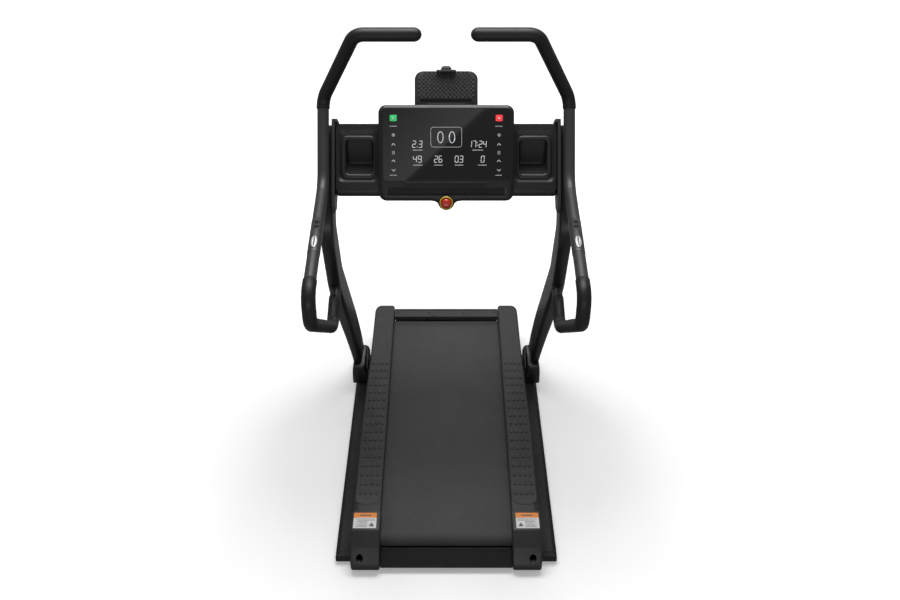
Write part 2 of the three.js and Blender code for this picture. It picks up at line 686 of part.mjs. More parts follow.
// ---------------------------------------------------------------- tablet rest
const tablet = new THREE.Group();
tablet.position.set(0, TABLET.back, TABLET.z);
tablet.rotation.x = -TABLET.lean;
treadmill.add(tablet);

// A backing plate whose tail is fixed to the back of the console.
function tabletRest() {
  const plate = alongY(roundedRectangle(-TABLET.half, 0, TABLET.half, TABLET.height, 26),
    0, TABLET.thickness, 4);
  const slot = block(-CLIP.stem - GAP, CLIP.stem + GAP, -1, TABLET.thickness + 1,
    TABLET.height - CLIP.slot, TABLET.height + 1);
  const tail = block(-TABLET.half * 0.6, TABLET.half * 0.6, 0, TABLET.thickness, -TABLET.tail, 30);
  const base = block(-TABLET.half, TABLET.half, 0, TABLET.thickness, 0, 30);
  return cut(join(plate, base, tail), slot);
}

// A sprung jaw whose stem slides in the slot of the backing plate.
function tabletClip() {
  const { stem, jaw, slot } = CLIP;
  const side = [
    [0.5, -slot + 2], [TABLET.thickness - 0.5, -slot + 2], [TABLET.thickness - 0.5, 9],
    [-14, 15], [-19, 8], [-15, 3], [-4, 5], [0.5, 3],
  ];
  const profile = outline(side.map(([y, z]) => [y, TABLET.height + z]));
  const hook = alongX(profile, -stem, stem);
  const wings = alongX(outline([
    [TABLET.thickness, 2], [TABLET.thickness, 8], [-14, 14], [-18, 8], [-14, 3.5],
  ].map(([y, z]) => [y, TABLET.height + z])), -jaw, jaw);
  return join(hook, wings);
}

add(tablet, 'tablet_rest', tabletRest(), panelPlastic);
add(tablet, 'tablet_clip', tabletClip(), panelPlastic);

// ---------------------------------------------------------------- deck
const deck = new THREE.Group();
deck.position.set(0, HINGE.y, HINGE.z);
deck.rotation.x = DECK_SLOPE;
treadmill.add(deck);

function deckFrame() {
  const wall = 3;
  const tube = block(TUBE_IN, TUBE_OUT, -20, 1165, 0, TUBE_TOP);
  const lug = block(TUBE_IN, TUBE_OUT, -16, 16, -14, 1);
  const hollow = block(TUBE_IN + wall, TUBE_OUT - wall, -21, 1166, wall, TUBE_TOP - wall);
  const pinHole = rodX(HINGE.pinRadius + GAP, TUBE_IN - 1, TUBE_OUT + 1, 0, 0);
  const shaftHoles = [REAR_ROLLER_Y, FRONT_ROLLER_Y].map((y) =>
    block(TUBE_IN - 1, TUBE_OUT + 1, y - SHAFT_RADIUS - 0.6, y + SHAFT_RADIUS + 0.6,
      ROLLER_Z - SHAFT_RADIUS - 0.6, TUBE_TOP + 1));
  const side = cut(join(tube, lug), hollow, pinHole, ...shaftHoles);
  let frame = side.add(side.mirror([1, 0, 0]));
  // Flat bars inside the belt loop carry the board's middle.
  for (const y of [300, 580, 860]) {
    frame = frame.add(solid(block(-TUBE_IN - 1, TUBE_IN + 1, y, y + 40, 23.5, 40)));
  }
  const cross = block(-TUBE_OUT, TUBE_OUT, CROSS.back, CROSS.front, CROSS.bottom, CROSS.top);
  const crossHollow = block(-TUBE_OUT - 1, TUBE_OUT + 1, CROSS.back + wall, CROSS.front - wall,
    CROSS.bottom + wall, CROSS.top - wall - 4);
  frame = frame.add(solid(cross)).subtract(solid(crossHollow));
  // Two cheeks either side of the actuator rod's eye.
  const cheek = solid(alongX(outline([
    [LIFT_EYE.y - 14, LIFT_EYE.z - 12], [CROSS.back + 1, CROSS.bottom], [CROSS.back + 1, CROSS.top],
    [LIFT_EYE.y - 14, LIFT_EYE.z + 12],
  ]), LIFT_LUG - 2, LIFT_LUG + 4));
  return frame.add(cheek).add(cheek.mirror([1, 0, 0]));
}

function walkingBelt() {
  const rear = { y: REAR_ROLLER_Y, z: ROLLER_Z };
  const front = { y: FRONT_ROLLER_Y, z: ROLLER_Z };
  const inside = ROLLER_RADIUS + GAP;
  const shape = outline(loopAround(rear, front, inside + BELT_THICKNESS, inside + BELT_THICKNESS, 12));
  shape.holes.push(outline(loopAround(rear, front, inside, inside, 12)));
  return alongX(shape, -BELT_HALF, BELT_HALF);
}

function deckBoard() {
  const top = BELT_TOP - BELT_THICKNESS - GAP;
  return block(-BOARD_HALF, BOARD_HALF, 60, 1060, top - BOARD_THICKNESS, top);
}

function roller(y, shaftEnd) {
  return join(
    rodX(ROLLER_RADIUS, -ROLLER_HALF, ROLLER_HALF, y, ROLLER_Z, 24),
    rodX(SHAFT_RADIUS, -SHAFT_END, shaftEnd, y, ROLLER_Z, 12),
  );
}

// The driven front roller carries its belt pulley outside the side tube.
function frontRoller() {
  return roller(FRONT_ROLLER_Y, PULLEY.left + 1)
    .add(solid(rodX(PULLEY.large, PULLEY.left, PULLEY.right, FRONT_ROLLER_Y, ROLLER_Z, 28)));
}

// Plan of a side rail, drawn in by a margin: full width at the rear, narrower towards the front.
function sideRailPlan(margin) {
  const inner = COVER_IN;
  const wide = COVER_OUT - margin;
  const tip = COVER_TIP_OUT - margin;
  const plan = new THREE.Shape();
  plan.moveTo(inner, CAP_FRONT - margin);
  plan.lineTo(wide, CAP_FRONT - margin);
  plan.lineTo(wide, 480);
  plan.lineTo(tip + 1, 950);
  plan.lineTo(tip, COVER_FRONT - 22);
  plan.quadraticCurveTo(tip - 2, COVER_FRONT, tip - 22, COVER_FRONT);
  plan.lineTo(inner + 14, COVER_FRONT);
  plan.quadraticCurveTo(inner, COVER_FRONT, inner, COVER_FRONT - 14);
  return plan;
}

// Side rail: an open-bottomed moulding with a lip over the belt's edge.
function sideRail() {
  const lip = BELT_TOP + 4;
  const skirt = -22;
  const section = (inset, bottom) => outline([
    [COVER_IN + inset, bottom], [COVER_OUT - inset, bottom],
    [COVER_OUT - inset, COVER_TOP - 14 - inset * 0.4], [COVER_OUT - 12 - inset * 0.5, COVER_TOP - inset],
    [COVER_IN + 3 + inset * 0.6, COVER_TOP - inset], [COVER_IN + inset, COVER_TOP - 3 - inset * 0.6],
  ]);
  const side = outline([
    [CAP_FRONT + GAP, 8], [960, 8], [1060, skirt], [COVER_FRONT, skirt],
    [COVER_FRONT, COVER_TOP - 22], [COVER_FRONT - 7, COVER_TOP - 6], [COVER_FRONT - 24, COVER_TOP],
    [CAP_FRONT + GAP, COVER_TOP],
  ]);
  const outer = common(
    alongY(section(0, skirt - 1), CAP_FRONT, COVER_FRONT + 1),
    alongX(side, COVER_IN - 1, COVER_OUT + 1),
    alongZ(sideRailPlan(0), skirt - 2, COVER_TOP + 1, 5),
  );
  const core = common(
    alongY(section(COVER_WALL, skirt - 2), CAP_FRONT - 1, 950),
    alongZ(sideRailPlan(COVER_WALL), skirt - 2, COVER_TOP + 1, 1),
  );
  const frontCore = block(COVER_IN + COVER_WALL, COVER_TIP_OUT - COVER_WALL, 940, COVER_FRONT - 24, skirt - 2,
    COVER_TOP - COVER_WALL - 6);
  const beltSide = block(COVER_IN - 1, COVER_IN + COVER_WALL + 1, CAP_FRONT - 1, 1150, skirt - 2, lip);
  return cut(outer.subtract(core), frontCore, beltSide);
}

// Rear end cap: a hollow corner casting over the deck's hinge and belt adjuster.
function endCap() {
  const profile = new THREE.Shape();
  profile.moveTo(CAP_FRONT, 8);
  profile.lineTo(CAP_FRONT, COVER_TOP);
  profile.lineTo(14, COVER_TOP);
  profile.quadraticCurveTo(6, COVER_TOP, 2, COVER_TOP - 8);
  profile.lineTo(-27, 54);
  profile.lineTo(-68, 18);
  profile.quadraticCurveTo(-74, 12, -73.5, 3);
  profile.quadraticCurveTo(-73, -7, -60, -8);
  profile.lineTo(36, -8);
  const shell = alongX(profile, CAP_IN, COVER_OUT + 2, 4);
  const cavity = new THREE.Shape();
  cavity.moveTo(CAP_FRONT + 1, 16);
  cavity.lineTo(CAP_FRONT + 1, COVER_TOP - COVER_WALL);
  cavity.lineTo(14, COVER_TOP - COVER_WALL);
  cavity.lineTo(-22, 52);
  cavity.lineTo(-62, 16);
  cavity.lineTo(-67, 3);
  cavity.lineTo(-60, -9);
  cavity.lineTo(40, -9);
  cavity.lineTo(CAP_FRONT + 1, 4);
  const hollow = alongX(cavity, CAP_FLANGE, COVER_OUT + 2 - COVER_WALL);
  const beltSpace = block(CAP_IN - 1, CAP_FLANGE + 1, REAR_ROLLER_Y - 30, CAP_FRONT + 1, -20, BELT_TOP + 4);
  const pinHole = rodX(HINGE.holeRadius, CAP_FLANGE, COVER_OUT + 4, 0, 0);
  const boltHole = rodY(11, -80, -20, ADJUSTER_X, ADJUSTER_Z, 20);
  return cut(join(shell), hollow, beltSpace, pinHole, boltHole);
}

// Bent plate that closes the deck's rear under the belt, between the end caps.
function rearCover() {
  const half = CAP_IN - GAP;
  return alongX(outline([
    [-13, 29], [-17, 27], [-62, -4], [-56, -9.5], [10, -9.5], [10, -6.5], [-53, -6.5], [-57, -3], [-15, 24],
  ]), -half, half);
}

// Bent plate over the motor bay: down the front and over the belt's front wrap.
function frontCover() {
  const half = COVER_IN - 0.5;
  const rear = 1113;
  const front = 1176;
  return alongX(outline([
    [rear, BELT_TOP + 4], [rear + 3, BELT_TOP + 4], [rear + 3, 82], [rear + 10, 85],
    [front - 10, 85], [front - 3, 78], [front - 3, -50], [front, -50],
    [front, 80], [front - 8, 88], [rear + 9, 88], [rear, 84],
  ]), -half, half);
}

function driveMotor() {
  return join(
    rodX(MOTOR.radius, MOTOR.left, MOTOR.right, MOTOR.y, MOTOR.z, 24),
    rodX(MOTOR.radius - 6, MOTOR.right - 1, MOTOR.right + MOTOR.collar, MOTOR.y, MOTOR.z, 20),
    rodX(MOTOR.radius - 10, MOTOR.left - 8, MOTOR.left + 1, MOTOR.y, MOTOR.z, 20),
  );
}

function motorPulley() {
  return join(
    rodX(PULLEY.small, PULLEY.left, PULLEY.right, MOTOR.y, MOTOR.z, 20),
    rodX(6, MOTOR.right + MOTOR.collar + GAP, PULLEY.left + 1, MOTOR.y, MOTOR.z, 12),
  );
}

function driveBelt() {
  const roller = { y: FRONT_ROLLER_Y, z: ROLLER_Z };
  const thickness = 2;
  const [large, small] = [PULLEY.large + PULLEY.clear, PULLEY.small + PULLEY.clear];
  const shape = outline(loopAround(roller, MOTOR, large + thickness, small + thickness, 8));
  shape.holes.push(outline(loopAround(roller, MOTOR, large, small, 8)));
  return alongX(shape, PULLEY.left + 3, PULLEY.right - 3);
}

function powerInlet() {
  const { x, z, half, height } = INLET;
  const body = block(x - half - 4, x + half + 4, 1150, 1172.5, z - height - 4, z + height + 4);
  return cut(join(body), block(x - half, x + half, 1156, 1180, z - height, z + height));
}

// The front cover with a window over the power inlet.
function frontCoverWithInlet() {
  const { x, z, half, height } = INLET;
  const window = block(x - half - 1, x + half + 1, 1160, 1190, z - height - 1, z + height + 1);
  return cut(join(frontCover()), window);
}

add(deck, 'deck_frame', deckFrame(), frameBlack);
add(deck, 'deck_board', deckBoard(), boardBrown);
add(deck, 'walking_belt', walkingBelt(), beltBlack);
add(deck, 'rear_roller', roller(REAR_ROLLER_Y, SHAFT_END), steelGrey);
add(deck, 'front_roller', frontRoller(), steelGrey);
addPair(deck, 'side_rail', sideRail, railPlastic);
addPair(deck, 'end_cap', endCap, railPlastic);
addPair(deck, 'pivot_pin', () => rodX(HINGE.pinRadius, TUBE_IN + 4, RAIL_OUT - 16, 0, 0), steelGrey);
add(deck, 'front_cover', frontCoverWithInlet(), railPlastic);
add(deck, 'rear_cover', rearCover(), railPlastic);
add(deck, 'drive_motor', driveMotor(), motorGrey);
add(deck, 'motor_pulley', motorPulley(), steelGrey);
add(deck, 'drive_belt', driveBelt(), rubberBlack);
add(deck, 'motor_controller', block(-200, -60, 985, CROSS.back - GAP, -30, 12), motorGrey);
add(deck, 'power_inlet', powerInlet(), rubberBlack);

// ---------------------------------------------------------------- incline actuator
const eyeY = HINGE.y + LIFT_EYE.y * Math.cos(DECK_SLOPE) - LIFT_EYE.z * Math.sin(DECK_SLOPE);
const eyeZ = HINGE.z + LIFT_EYE.y * Math.sin(DECK_SLOPE) + LIFT_EYE.z * Math.cos(DECK_SLOPE);
const liftLength = Math.hypot(eyeY - LIFT_PIVOT.y, eyeZ - LIFT_PIVOT.z);

const actuator = new THREE.Group();
actuator.position.set(0, LIFT_PIVOT.y, LIFT_PIVOT.z);
actuator.rotation.x = Math.atan2(eyeZ - LIFT_PIVOT.z, eyeY - LIFT_PIVOT.y);
treadmill.add(actuator);

function actuatorBarrel() {
  const barrel = rodY(BARREL.radius, BARREL.start, BARREL.length, 0, 0, 20);
  const eye = rodX(EYE_RADIUS, -LIFT_LUG + 1, LIFT_LUG - 1, 0, 0, 20);
  const neck = block(-9, 9, 0, BARREL.start + 4, -9, 9);
  const can = rodY(20, 10, 84, 42, 0, 20);
  const gearbox = block(0, 56, 22, 46, -14, 14);
  return cut(join(barrel, eye, neck, can, gearbox),
    rodY(BARREL.bore, 30, BARREL.length + 1, 0, 0, 20),
    rodX(LIFT_PIN_RADIUS + 0.5, -20, 20, 0, 0, 16));
}

function actuatorRod() {
  return join(
    rodY(ROD_RADIUS, 32, liftLength - 6, 0, 0, 16),
    rodX(EYE_RADIUS, -8, 8, liftLength, 0, 20),
  );
}

add(actuator, 'incline_actuator', actuatorBarrel(), motorGrey);
add(actuator, 'actuator_rod', actuatorRod(), steelGrey);

export default treadmill;
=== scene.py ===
"""Looks for a compact incline treadmill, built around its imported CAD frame. Metres, +Z up."""

import json
import math
import random

import bmesh
import bpy
from mathutils import Matrix, Vector

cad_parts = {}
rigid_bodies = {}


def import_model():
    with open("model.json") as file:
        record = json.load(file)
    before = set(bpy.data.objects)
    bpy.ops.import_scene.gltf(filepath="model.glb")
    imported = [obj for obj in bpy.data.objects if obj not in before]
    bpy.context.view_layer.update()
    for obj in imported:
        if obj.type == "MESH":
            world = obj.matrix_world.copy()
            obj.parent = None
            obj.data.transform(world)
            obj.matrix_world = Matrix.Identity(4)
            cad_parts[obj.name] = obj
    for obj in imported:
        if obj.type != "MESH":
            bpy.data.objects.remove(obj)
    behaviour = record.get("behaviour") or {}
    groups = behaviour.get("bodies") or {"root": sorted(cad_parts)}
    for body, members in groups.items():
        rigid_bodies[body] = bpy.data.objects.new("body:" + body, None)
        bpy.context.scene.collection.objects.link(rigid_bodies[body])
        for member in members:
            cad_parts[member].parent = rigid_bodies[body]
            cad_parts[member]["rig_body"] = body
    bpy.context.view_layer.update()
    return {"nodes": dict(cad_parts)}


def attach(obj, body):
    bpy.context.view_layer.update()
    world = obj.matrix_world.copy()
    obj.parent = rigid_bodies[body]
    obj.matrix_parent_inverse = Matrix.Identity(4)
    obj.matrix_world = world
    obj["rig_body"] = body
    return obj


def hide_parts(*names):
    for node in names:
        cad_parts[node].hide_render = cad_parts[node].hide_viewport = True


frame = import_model()
NODES = frame["nodes"]
SIDES = (("left", -1), ("right", 1))


# ------------------------------------------------------------------ places, in millimetres
def leaned(y, z, degrees):
    """A frame hinged about the X axis: millimetres in it become metres in the row frame."""
    turn = Matrix.Rotation(math.radians(degrees), 4, "X")
    return Matrix.Translation((0, y / 1000, z / 1000)) @ turn @ Matrix.Scale(0.001, 4)


PLAIN = Matrix.Scale(0.001, 4)
DECK_SLOPE = 2.6
PANEL_LEAN, CONSOLE_LEAN, TABLET_LEAN = 34.1, 26.4, 34
DECK = leaned(-560, 28, DECK_SLOPE)
PANEL = leaned(10.5, 1008, -PANEL_LEAN)
CONSOLE = leaned(-8.5, 997, -CONSOLE_LEAN)
TABLET = leaned(169.5, 1243, -TABLET_LEAN)
STOP_DROP = 8

BAR_RADIUS = 17.9
FOAM_RADIUS = 20.2
BAR_TIP_X = 92
BAR_LINE = [
    (376, 100, 624, 0),
    (376, -70, 558, 80),
    (376, -499, 874, 60),
    (376, -499, 967, 45),
    (376, -27, 1063, 110),
    (376, 118, 1282, 50),
    (262, 26, 1513, 42),
    (BAR_TIP_X, 26, 1513, 0),
]
UPRIGHT_LINE = [
    (333, 392, 40, 0),
    (340, 352, 148, 500),
    (364, 266, 369, 700),
    (381, 130, 625, 420),
    (381, 38, 868, 95),
    (381, 215, 1143, 0),
]
UPRIGHT_HALF = (21.5, 55)
UPRIGHT_FOOT = 40.4                      # height of the cut where an upright stands on the floor frame
# Between these heights an upright moves towards this x, by up to this share of the way.
SLIMMING = {"top": 369, "bottom": 148, "x": 354, "share": 0.26}
# Shares of the way along the loop's straight run where things sit on the handlebar.
SENSOR_AT, REAR_BUTTON_AT, FRONT_BUTTON_AT, SHELL_FROM, SHELL_TO = 0.42, 0.56, 0.60, 0.345, 0.64
# Shares of their runs where the lower grip begins and ends, and where the upper grip begins.
LOWER_GRIP_FROM, LOWER_GRIP_TO, UPPER_GRIP_FROM = 0.34, 0.13, 0.88


# ------------------------------------------------------------------ materials
class Graph:
    """Short names for the shader nodes a surface needs."""

    def __init__(self, name):
        self.material = bpy.data.materials.new(name)
        self.material.use_nodes = True
        self.tree = self.material.node_tree
        self.shader = self.tree.nodes["Principled BSDF"]
        self.place = self.node("ShaderNodeTexCoord").outputs["Object"]

    def node(self, kind, inputs=(), **settings):
        made = self.tree.nodes.new(kind)
        for key, value in settings.items():
            setattr(made, key, value)
        for key, value in dict(inputs).items():
            if isinstance(value, bpy.types.NodeSocket):
                self.tree.links.new(value, made.inputs[key])
            else:
                made.inputs[key].default_value = value
        return made

    def noise(self, scale, detail=4.0, roughness=0.55, stretch=None):
        where = self.place
        if stretch:
            where = self.node("ShaderNodeMapping", {"Vector": where, "Scale": stretch}).outputs[0]
        made = self.node("ShaderNodeTexNoise", {
            "Vector": where, "Scale": scale, "Detail": detail, "Roughness": roughness})
        return made.outputs["Fac"]

    def spread(self, value, low, high, to_low, to_high):
        made = self.node("ShaderNodeMapRange", {
            "Value": value, "From Min": low, "From Max": high, "To Min": to_low, "To Max": to_high})
        return made.outputs[0]

    def maths(self, operation, a, b=None, c=None):
        inputs = {i: v for i, v in enumerate((a, b, c)) if v is not None}
        return self.node("ShaderNodeMath", inputs, operation=operation).outputs[0]

    def axis(self, name):
        return self.node("ShaderNodeSeparateXYZ", {0: self.place}).outputs[name]

    def bump(self, height, distance, strength=1.0, normal=None):
        inputs = {"Height": height, "Distance": distance, "Strength": strength}
        if normal is not None:
            inputs["Normal"] = normal
        return self.node("ShaderNodeBump", inputs).outputs[0]


def surface(name, color, roughness, metallic=0.0, mottle=0.10, patch=8.0, speck=0.06, speck_size=700.0,
            grain=0.0, grain_size=1100.0, wear=0.0, coat=0.0, specular=0.5, stretch=None, relief=None,
            dust=0.0, smudge=0.06):
    """A finished surface: patchy colour, fine specks, worn edges, uneven gloss and moulded grain.

    `relief` adds a pattern of its own: it takes the graph and gives back (height, depth in metres).
    """
    g = Graph(name)
    shader = g.shader
    patches = g.spread(g.noise(patch, 5.0, 0.6, stretch), 0.3, 0.7, 1 - mottle, 1 + mottle)
    specks = g.spread(g.noise(speck_size, 2.0), 0.25, 0.75, 1 - speck, 1 + speck)
    shade = g.maths("MULTIPLY", patches, specks)
    tint = g.node("ShaderNodeVectorMath", {0: color, "Scale": shade}, operation="SCALE").outputs[0]
    facing = g.node("ShaderNodeNewGeometry")
    if dust:
        up = g.node("ShaderNodeSeparateXYZ", {0: facing.outputs["Normal"]}).outputs["Z"]
        lying = g.spread(up, 0.55, 1.0, 0.0, dust)
        lying = g.maths("MULTIPLY", lying, g.spread(g.noise(23.0, 6.0, 0.7), 0.35, 0.75, 0.15, 1.0))
        tint = g.node("ShaderNodeMix", {0: lying, 6: tint, 7: (0.30, 0.29, 0.27, 1.0)},
                      data_type="RGBA").outputs[2]
    if wear:
        rounded = g.node("ShaderNodeBevel", {"Radius": 0.0025}, samples=3).outputs[0]
        same = g.node("ShaderNodeVectorMath", {0: rounded, 1: facing.outputs["Normal"]},
                      operation="DOT_PRODUCT").outputs["Value"]
        edge = g.spread(same, 0.995, 0.90, 0.0, wear)
        edge = g.maths("MULTIPLY", edge, g.spread(g.noise(60.0, 5.0, 0.7), 0.35, 0.65, 0.2, 1.0))
        lighter = tuple(min(1.0, c * 2.2 + 0.03) for c in color[:3]) + (1.0,)
        tint = g.node("ShaderNodeMix", {0: edge, 6: tint, 7: lighter}, data_type="RGBA").outputs[2]
    g.tree.links.new(tint, shader.inputs["Base Color"])
    gloss = g.spread(g.noise(patch * 2.3, 6.0, 0.65), 0.3, 0.7, roughness - smudge, roughness + smudge)
    g.tree.links.new(gloss, shader.inputs["Roughness"])
    shader.inputs["Metallic"].default_value = metallic
    shader.inputs["Specular IOR Level"].default_value = specular
    shader.inputs["Coat Weight"].default_value = coat
    shader.inputs["Coat Roughness"].default_value = 0.12
    normal = None
    if relief:
        height, depth = relief(g)
        normal = g.bump(height, depth)
    if grain:
        normal = g.bump(g.noise(grain_size, 3.0, 0.6), grain, 0.8, normal)
    if normal is not None:
        g.tree.links.new(normal, shader.inputs["Normal"])
    return g.material


def glowing(name, color, strength, body=0.4):
    """A lit legend or key: its light varies a little over its area."""
    g = Graph(name)
    flicker = g.spread(g.noise(240.0, 2.0), 0.3, 0.7, 0.88, 1.0)
    shade = g.node("ShaderNodeVectorMath", {0: color, "Scale": flicker}, operation="SCALE").outputs[0]
    g.tree.links.new(shade, g.shader.inputs["Emission Color"])
    g.tree.links.new(shade, g.shader.inputs["Base Color"])
    g.shader.inputs["Emission Strength"].default_value = strength
    g.shader.inputs["Roughness"].default_value = body
    return g.material


def diamonds(pitch_x, pitch_y, sharp):
    """Height of a diamond emboss in the XY plane."""
    def relief(g):
        a = g.maths("MULTIPLY", g.axis("X"), 2 * math.pi / pitch_x)
        b = g.maths("MULTIPLY", g.axis("Y"), 2 * math.pi / pitch_y)
        rise = g.maths("SINE", g.maths("ADD", a, b))
        fall = g.maths("SINE", g.maths("SUBTRACT", a, b))
        return g.maths("MAXIMUM", rise, fall), sharp
    return relief


powder = surface("powder_coat_black", (0.011, 0.011, 0.012), 0.36, speck=0.12, grain=0.00010,
                 grain_size=900.0, wear=0.10, coat=0.15)
frame_paint = surface("frame_paint", (0.006, 0.006, 0.007), 0.52, specular=0.3, speck=0.10, grain=0.00012,
                      grain_size=800.0, wear=0.14, dust=0.03)
bar_paint = surface("bar_satin_black", (0.042, 0.042, 0.043), 0.42, speck=0.10, grain=0.00006,
                    grain_size=1000.0, coat=0.15)
foam = surface("grip_foam", (0.007, 0.007, 0.008), 0.48, mottle=0.14, speck=0.16, speck_size=1400.0,
               grain=0.00022, grain_size=1500.0)
rail = surface("rail_moulding", (0.020, 0.020, 0.021), 0.58, mottle=0.07, speck=0.10, grain=0.00022,
               grain_size=1300.0, wear=0.16, dust=0.02)
rail_pad = surface("rail_pad", (0.015, 0.015, 0.016), 0.55, mottle=0.06, speck=0.10, grain=0.00016,
                   grain_size=1400.0, wear=0.12, dust=0.02)
cap_plastic = surface("end_cap_moulding", (0.018, 0.018, 0.019), 0.42, mottle=0.08, speck=0.10,
                      grain=0.00020, grain_size=1300.0, wear=0.14, dust=0.02)
panel_plastic = surface("panel_moulding", (0.013, 0.013, 0.014), 0.42, mottle=0.08, speck=0.08,
                        grain=0.00014, grain_size=1500.0, wear=0.12)
console_plastic = surface("console_moulding", (0.015, 0.015, 0.016), 0.36, mottle=0.06, speck=0.06,
                          grain=0.00010, grain_size=1700.0, wear=0.10)
matte_inlay = surface("matte_inlay", (0.008, 0.008, 0.009), 0.55, specular=0.3, mottle=0.08, speck=0.08)
liner = surface("cup_liner", (0.020, 0.020, 0.021), 0.34, grain=0.00008, grain_size=1500.0, wear=0.10)
glass = surface("display_glass", (0.009, 0.009, 0.010), 0.035, mottle=0.05, patch=5.0, speck=0.0,
                specular=0.55, smudge=0.015)
belt = surface("belt_cover", (0.050, 0.050, 0.051), 0.66, mottle=0.09, patch=5.0, speck=0.14,
               speck_size=520.0, stretch=(1.0, 0.35, 1.0), relief=diamonds(0.0068, 0.0094, 0.00055),
               grain=0.00012, grain_size=900.0, dust=0.02)
rubber = surface("moulded_rubber", (0.012, 0.012, 0.012), 0.72, speck=0.10, grain=0.00020, dust=0.05)
tyre = surface("wheel_tyre", (0.020, 0.020, 0.021), 0.62, grain=0.00018, dust=0.05, wear=0.2)
steel = surface("machined_steel", (0.42, 0.42, 0.43), 0.28, metallic=1.0, mottle=0.10, patch=30.0,
                grain=0.00005, grain_size=600.0, stretch=(0.15, 1.0, 1.0))
black_bolt = surface("bolt_black_oxide", (0.030, 0.030, 0.032), 0.34, metallic=0.8, mottle=0.2, patch=90.0,
                     wear=0.3)
chrome = surface("sensor_plate", (0.66, 0.66, 0.67), 0.34, metallic=0.45, mottle=0.05, patch=60.0,
                 grain=0.00002)
wood = surface("deck_board", (0.17, 0.11, 0.065), 0.55, mottle=0.25, patch=9.0, stretch=(1.0, 0.08, 1.0),
               grain=0.00010)
motor_paint = surface("motor_case", (0.055, 0.058, 0.062), 0.40, metallic=0.5, speck=0.12,
                      grain=0.00012, wear=0.2, dust=0.05)
stop_red = surface("stop_dome", (0.62, 0.025, 0.012), 0.24, mottle=0.06, patch=60.0, coat=0.6, speck=0.03)
stop_yellow = surface("stop_collar", (0.80, 0.58, 0.02), 0.30, mottle=0.05, patch=60.0, coat=0.4, speck=0.03)
label_white = surface("label_field", (0.74, 0.74, 0.73), 0.45, mottle=0.03, speck=0.03, coat=0.3)
label_orange = surface("label_band", (0.85, 0.26, 0.03), 0.42, mottle=0.04, speck=0.03, coat=0.3)
label_ink = surface("label_rules", (0.10, 0.10, 0.11), 0.5, mottle=0.05)
glow_white = glowing("legend_white", (0.82, 0.84, 0.86), 0.75)
glow_dim = glowing("legend_dim", (0.58, 0.60, 0.63), 0.50)
glow_faint = glowing("legend_faint", (0.45, 0.46, 0.48), 0.42)
glow_green = glowing("key_green", (0.03, 0.42, 0.12), 0.75)
glow_red = glowing("key_red", (0.75, 0.035, 0.04), 0.9)


# ------------------------------------------------------------------ mesh tools
def shaded(mesh, smooth):
    """Smooth shading, with edges sharper than so many degrees kept crisp."""
    for polygon in mesh.polygons:
        polygon.use_smooth = True
    mesh.set_sharp_from_angle(angle=math.radians(smooth))


def dress(obj, body, material, replaces=(), bevel=0.0, segments=2, limit=32):
    """Gives a finished mesh object its material, rounded edges and the body it moves with."""
    obj.data.materials.clear()
    obj.data.materials.append(material)
    if bevel:
        edge = obj.modifiers.new("edges", "BEVEL")
        edge.width = bevel / 1000
        edge.segments = segments
        edge.limit_method = "ANGLE"
        edge.angle_limit = math.radians(limit)
        edge.use_clamp_overlap = True
        edge.harden_normals = True
    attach(obj, body)
    if replaces:
        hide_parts(*replaces)
    return obj


def build(name, verts, faces, material, body="base", place=PLAIN, replaces=(), smooth=38, bevel=0.0,
          segments=2):
    """A mesh object from points in a place's millimetres."""
    mesh = bpy.data.meshes.new(name)
    mesh.from_pydata([place @ Vector(v) for v in verts], [], faces)
    work = bmesh.new()
    work.from_mesh(mesh)
    bmesh.ops.remove_doubles(work, verts=work.verts, dist=2e-6)
    bmesh.ops.recalc_face_normals(work, faces=work.faces)
    work.to_mesh(mesh)
    work.free()
    shaded(mesh, smooth)
    obj = bpy.data.objects.new(name, mesh)
    bpy.context.scene.collection.objects.link(obj)
    return dress(obj, body, material, replaces, bevel, segments)


def refined(node, material, bevel=1.2, segments=2, smooth=38, limit=32):
    """A CAD node's own shape with its facets merged and its edges rounded, standing for the node."""
    source = NODES[node]
    mesh = source.data.copy()
    work = bmesh.new()
    work.from_mesh(mesh)
    bmesh.ops.remove_doubles(work, verts=work.verts, dist=1e-5)
    bmesh.ops.dissolve_limit(work, angle_limit=math.radians(1.2), verts=work.verts, edges=work.edges)
    work.to_mesh(mesh)
    work.free()
    shaded(mesh, smooth)
    obj = bpy.data.objects.new(node + "_finished", mesh)
    bpy.context.scene.collection.objects.link(obj)
    return dress(obj, source["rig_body"], material, (node,), bevel, segments, limit)


def spot_in(plane, a, b, c):
    """The point whose pair (a, b) lies in the named plane, c along the third axis."""
    return {"xz": (a, c, b), "xy": (a, b, c), "yz": (c, a, b)}[plane]


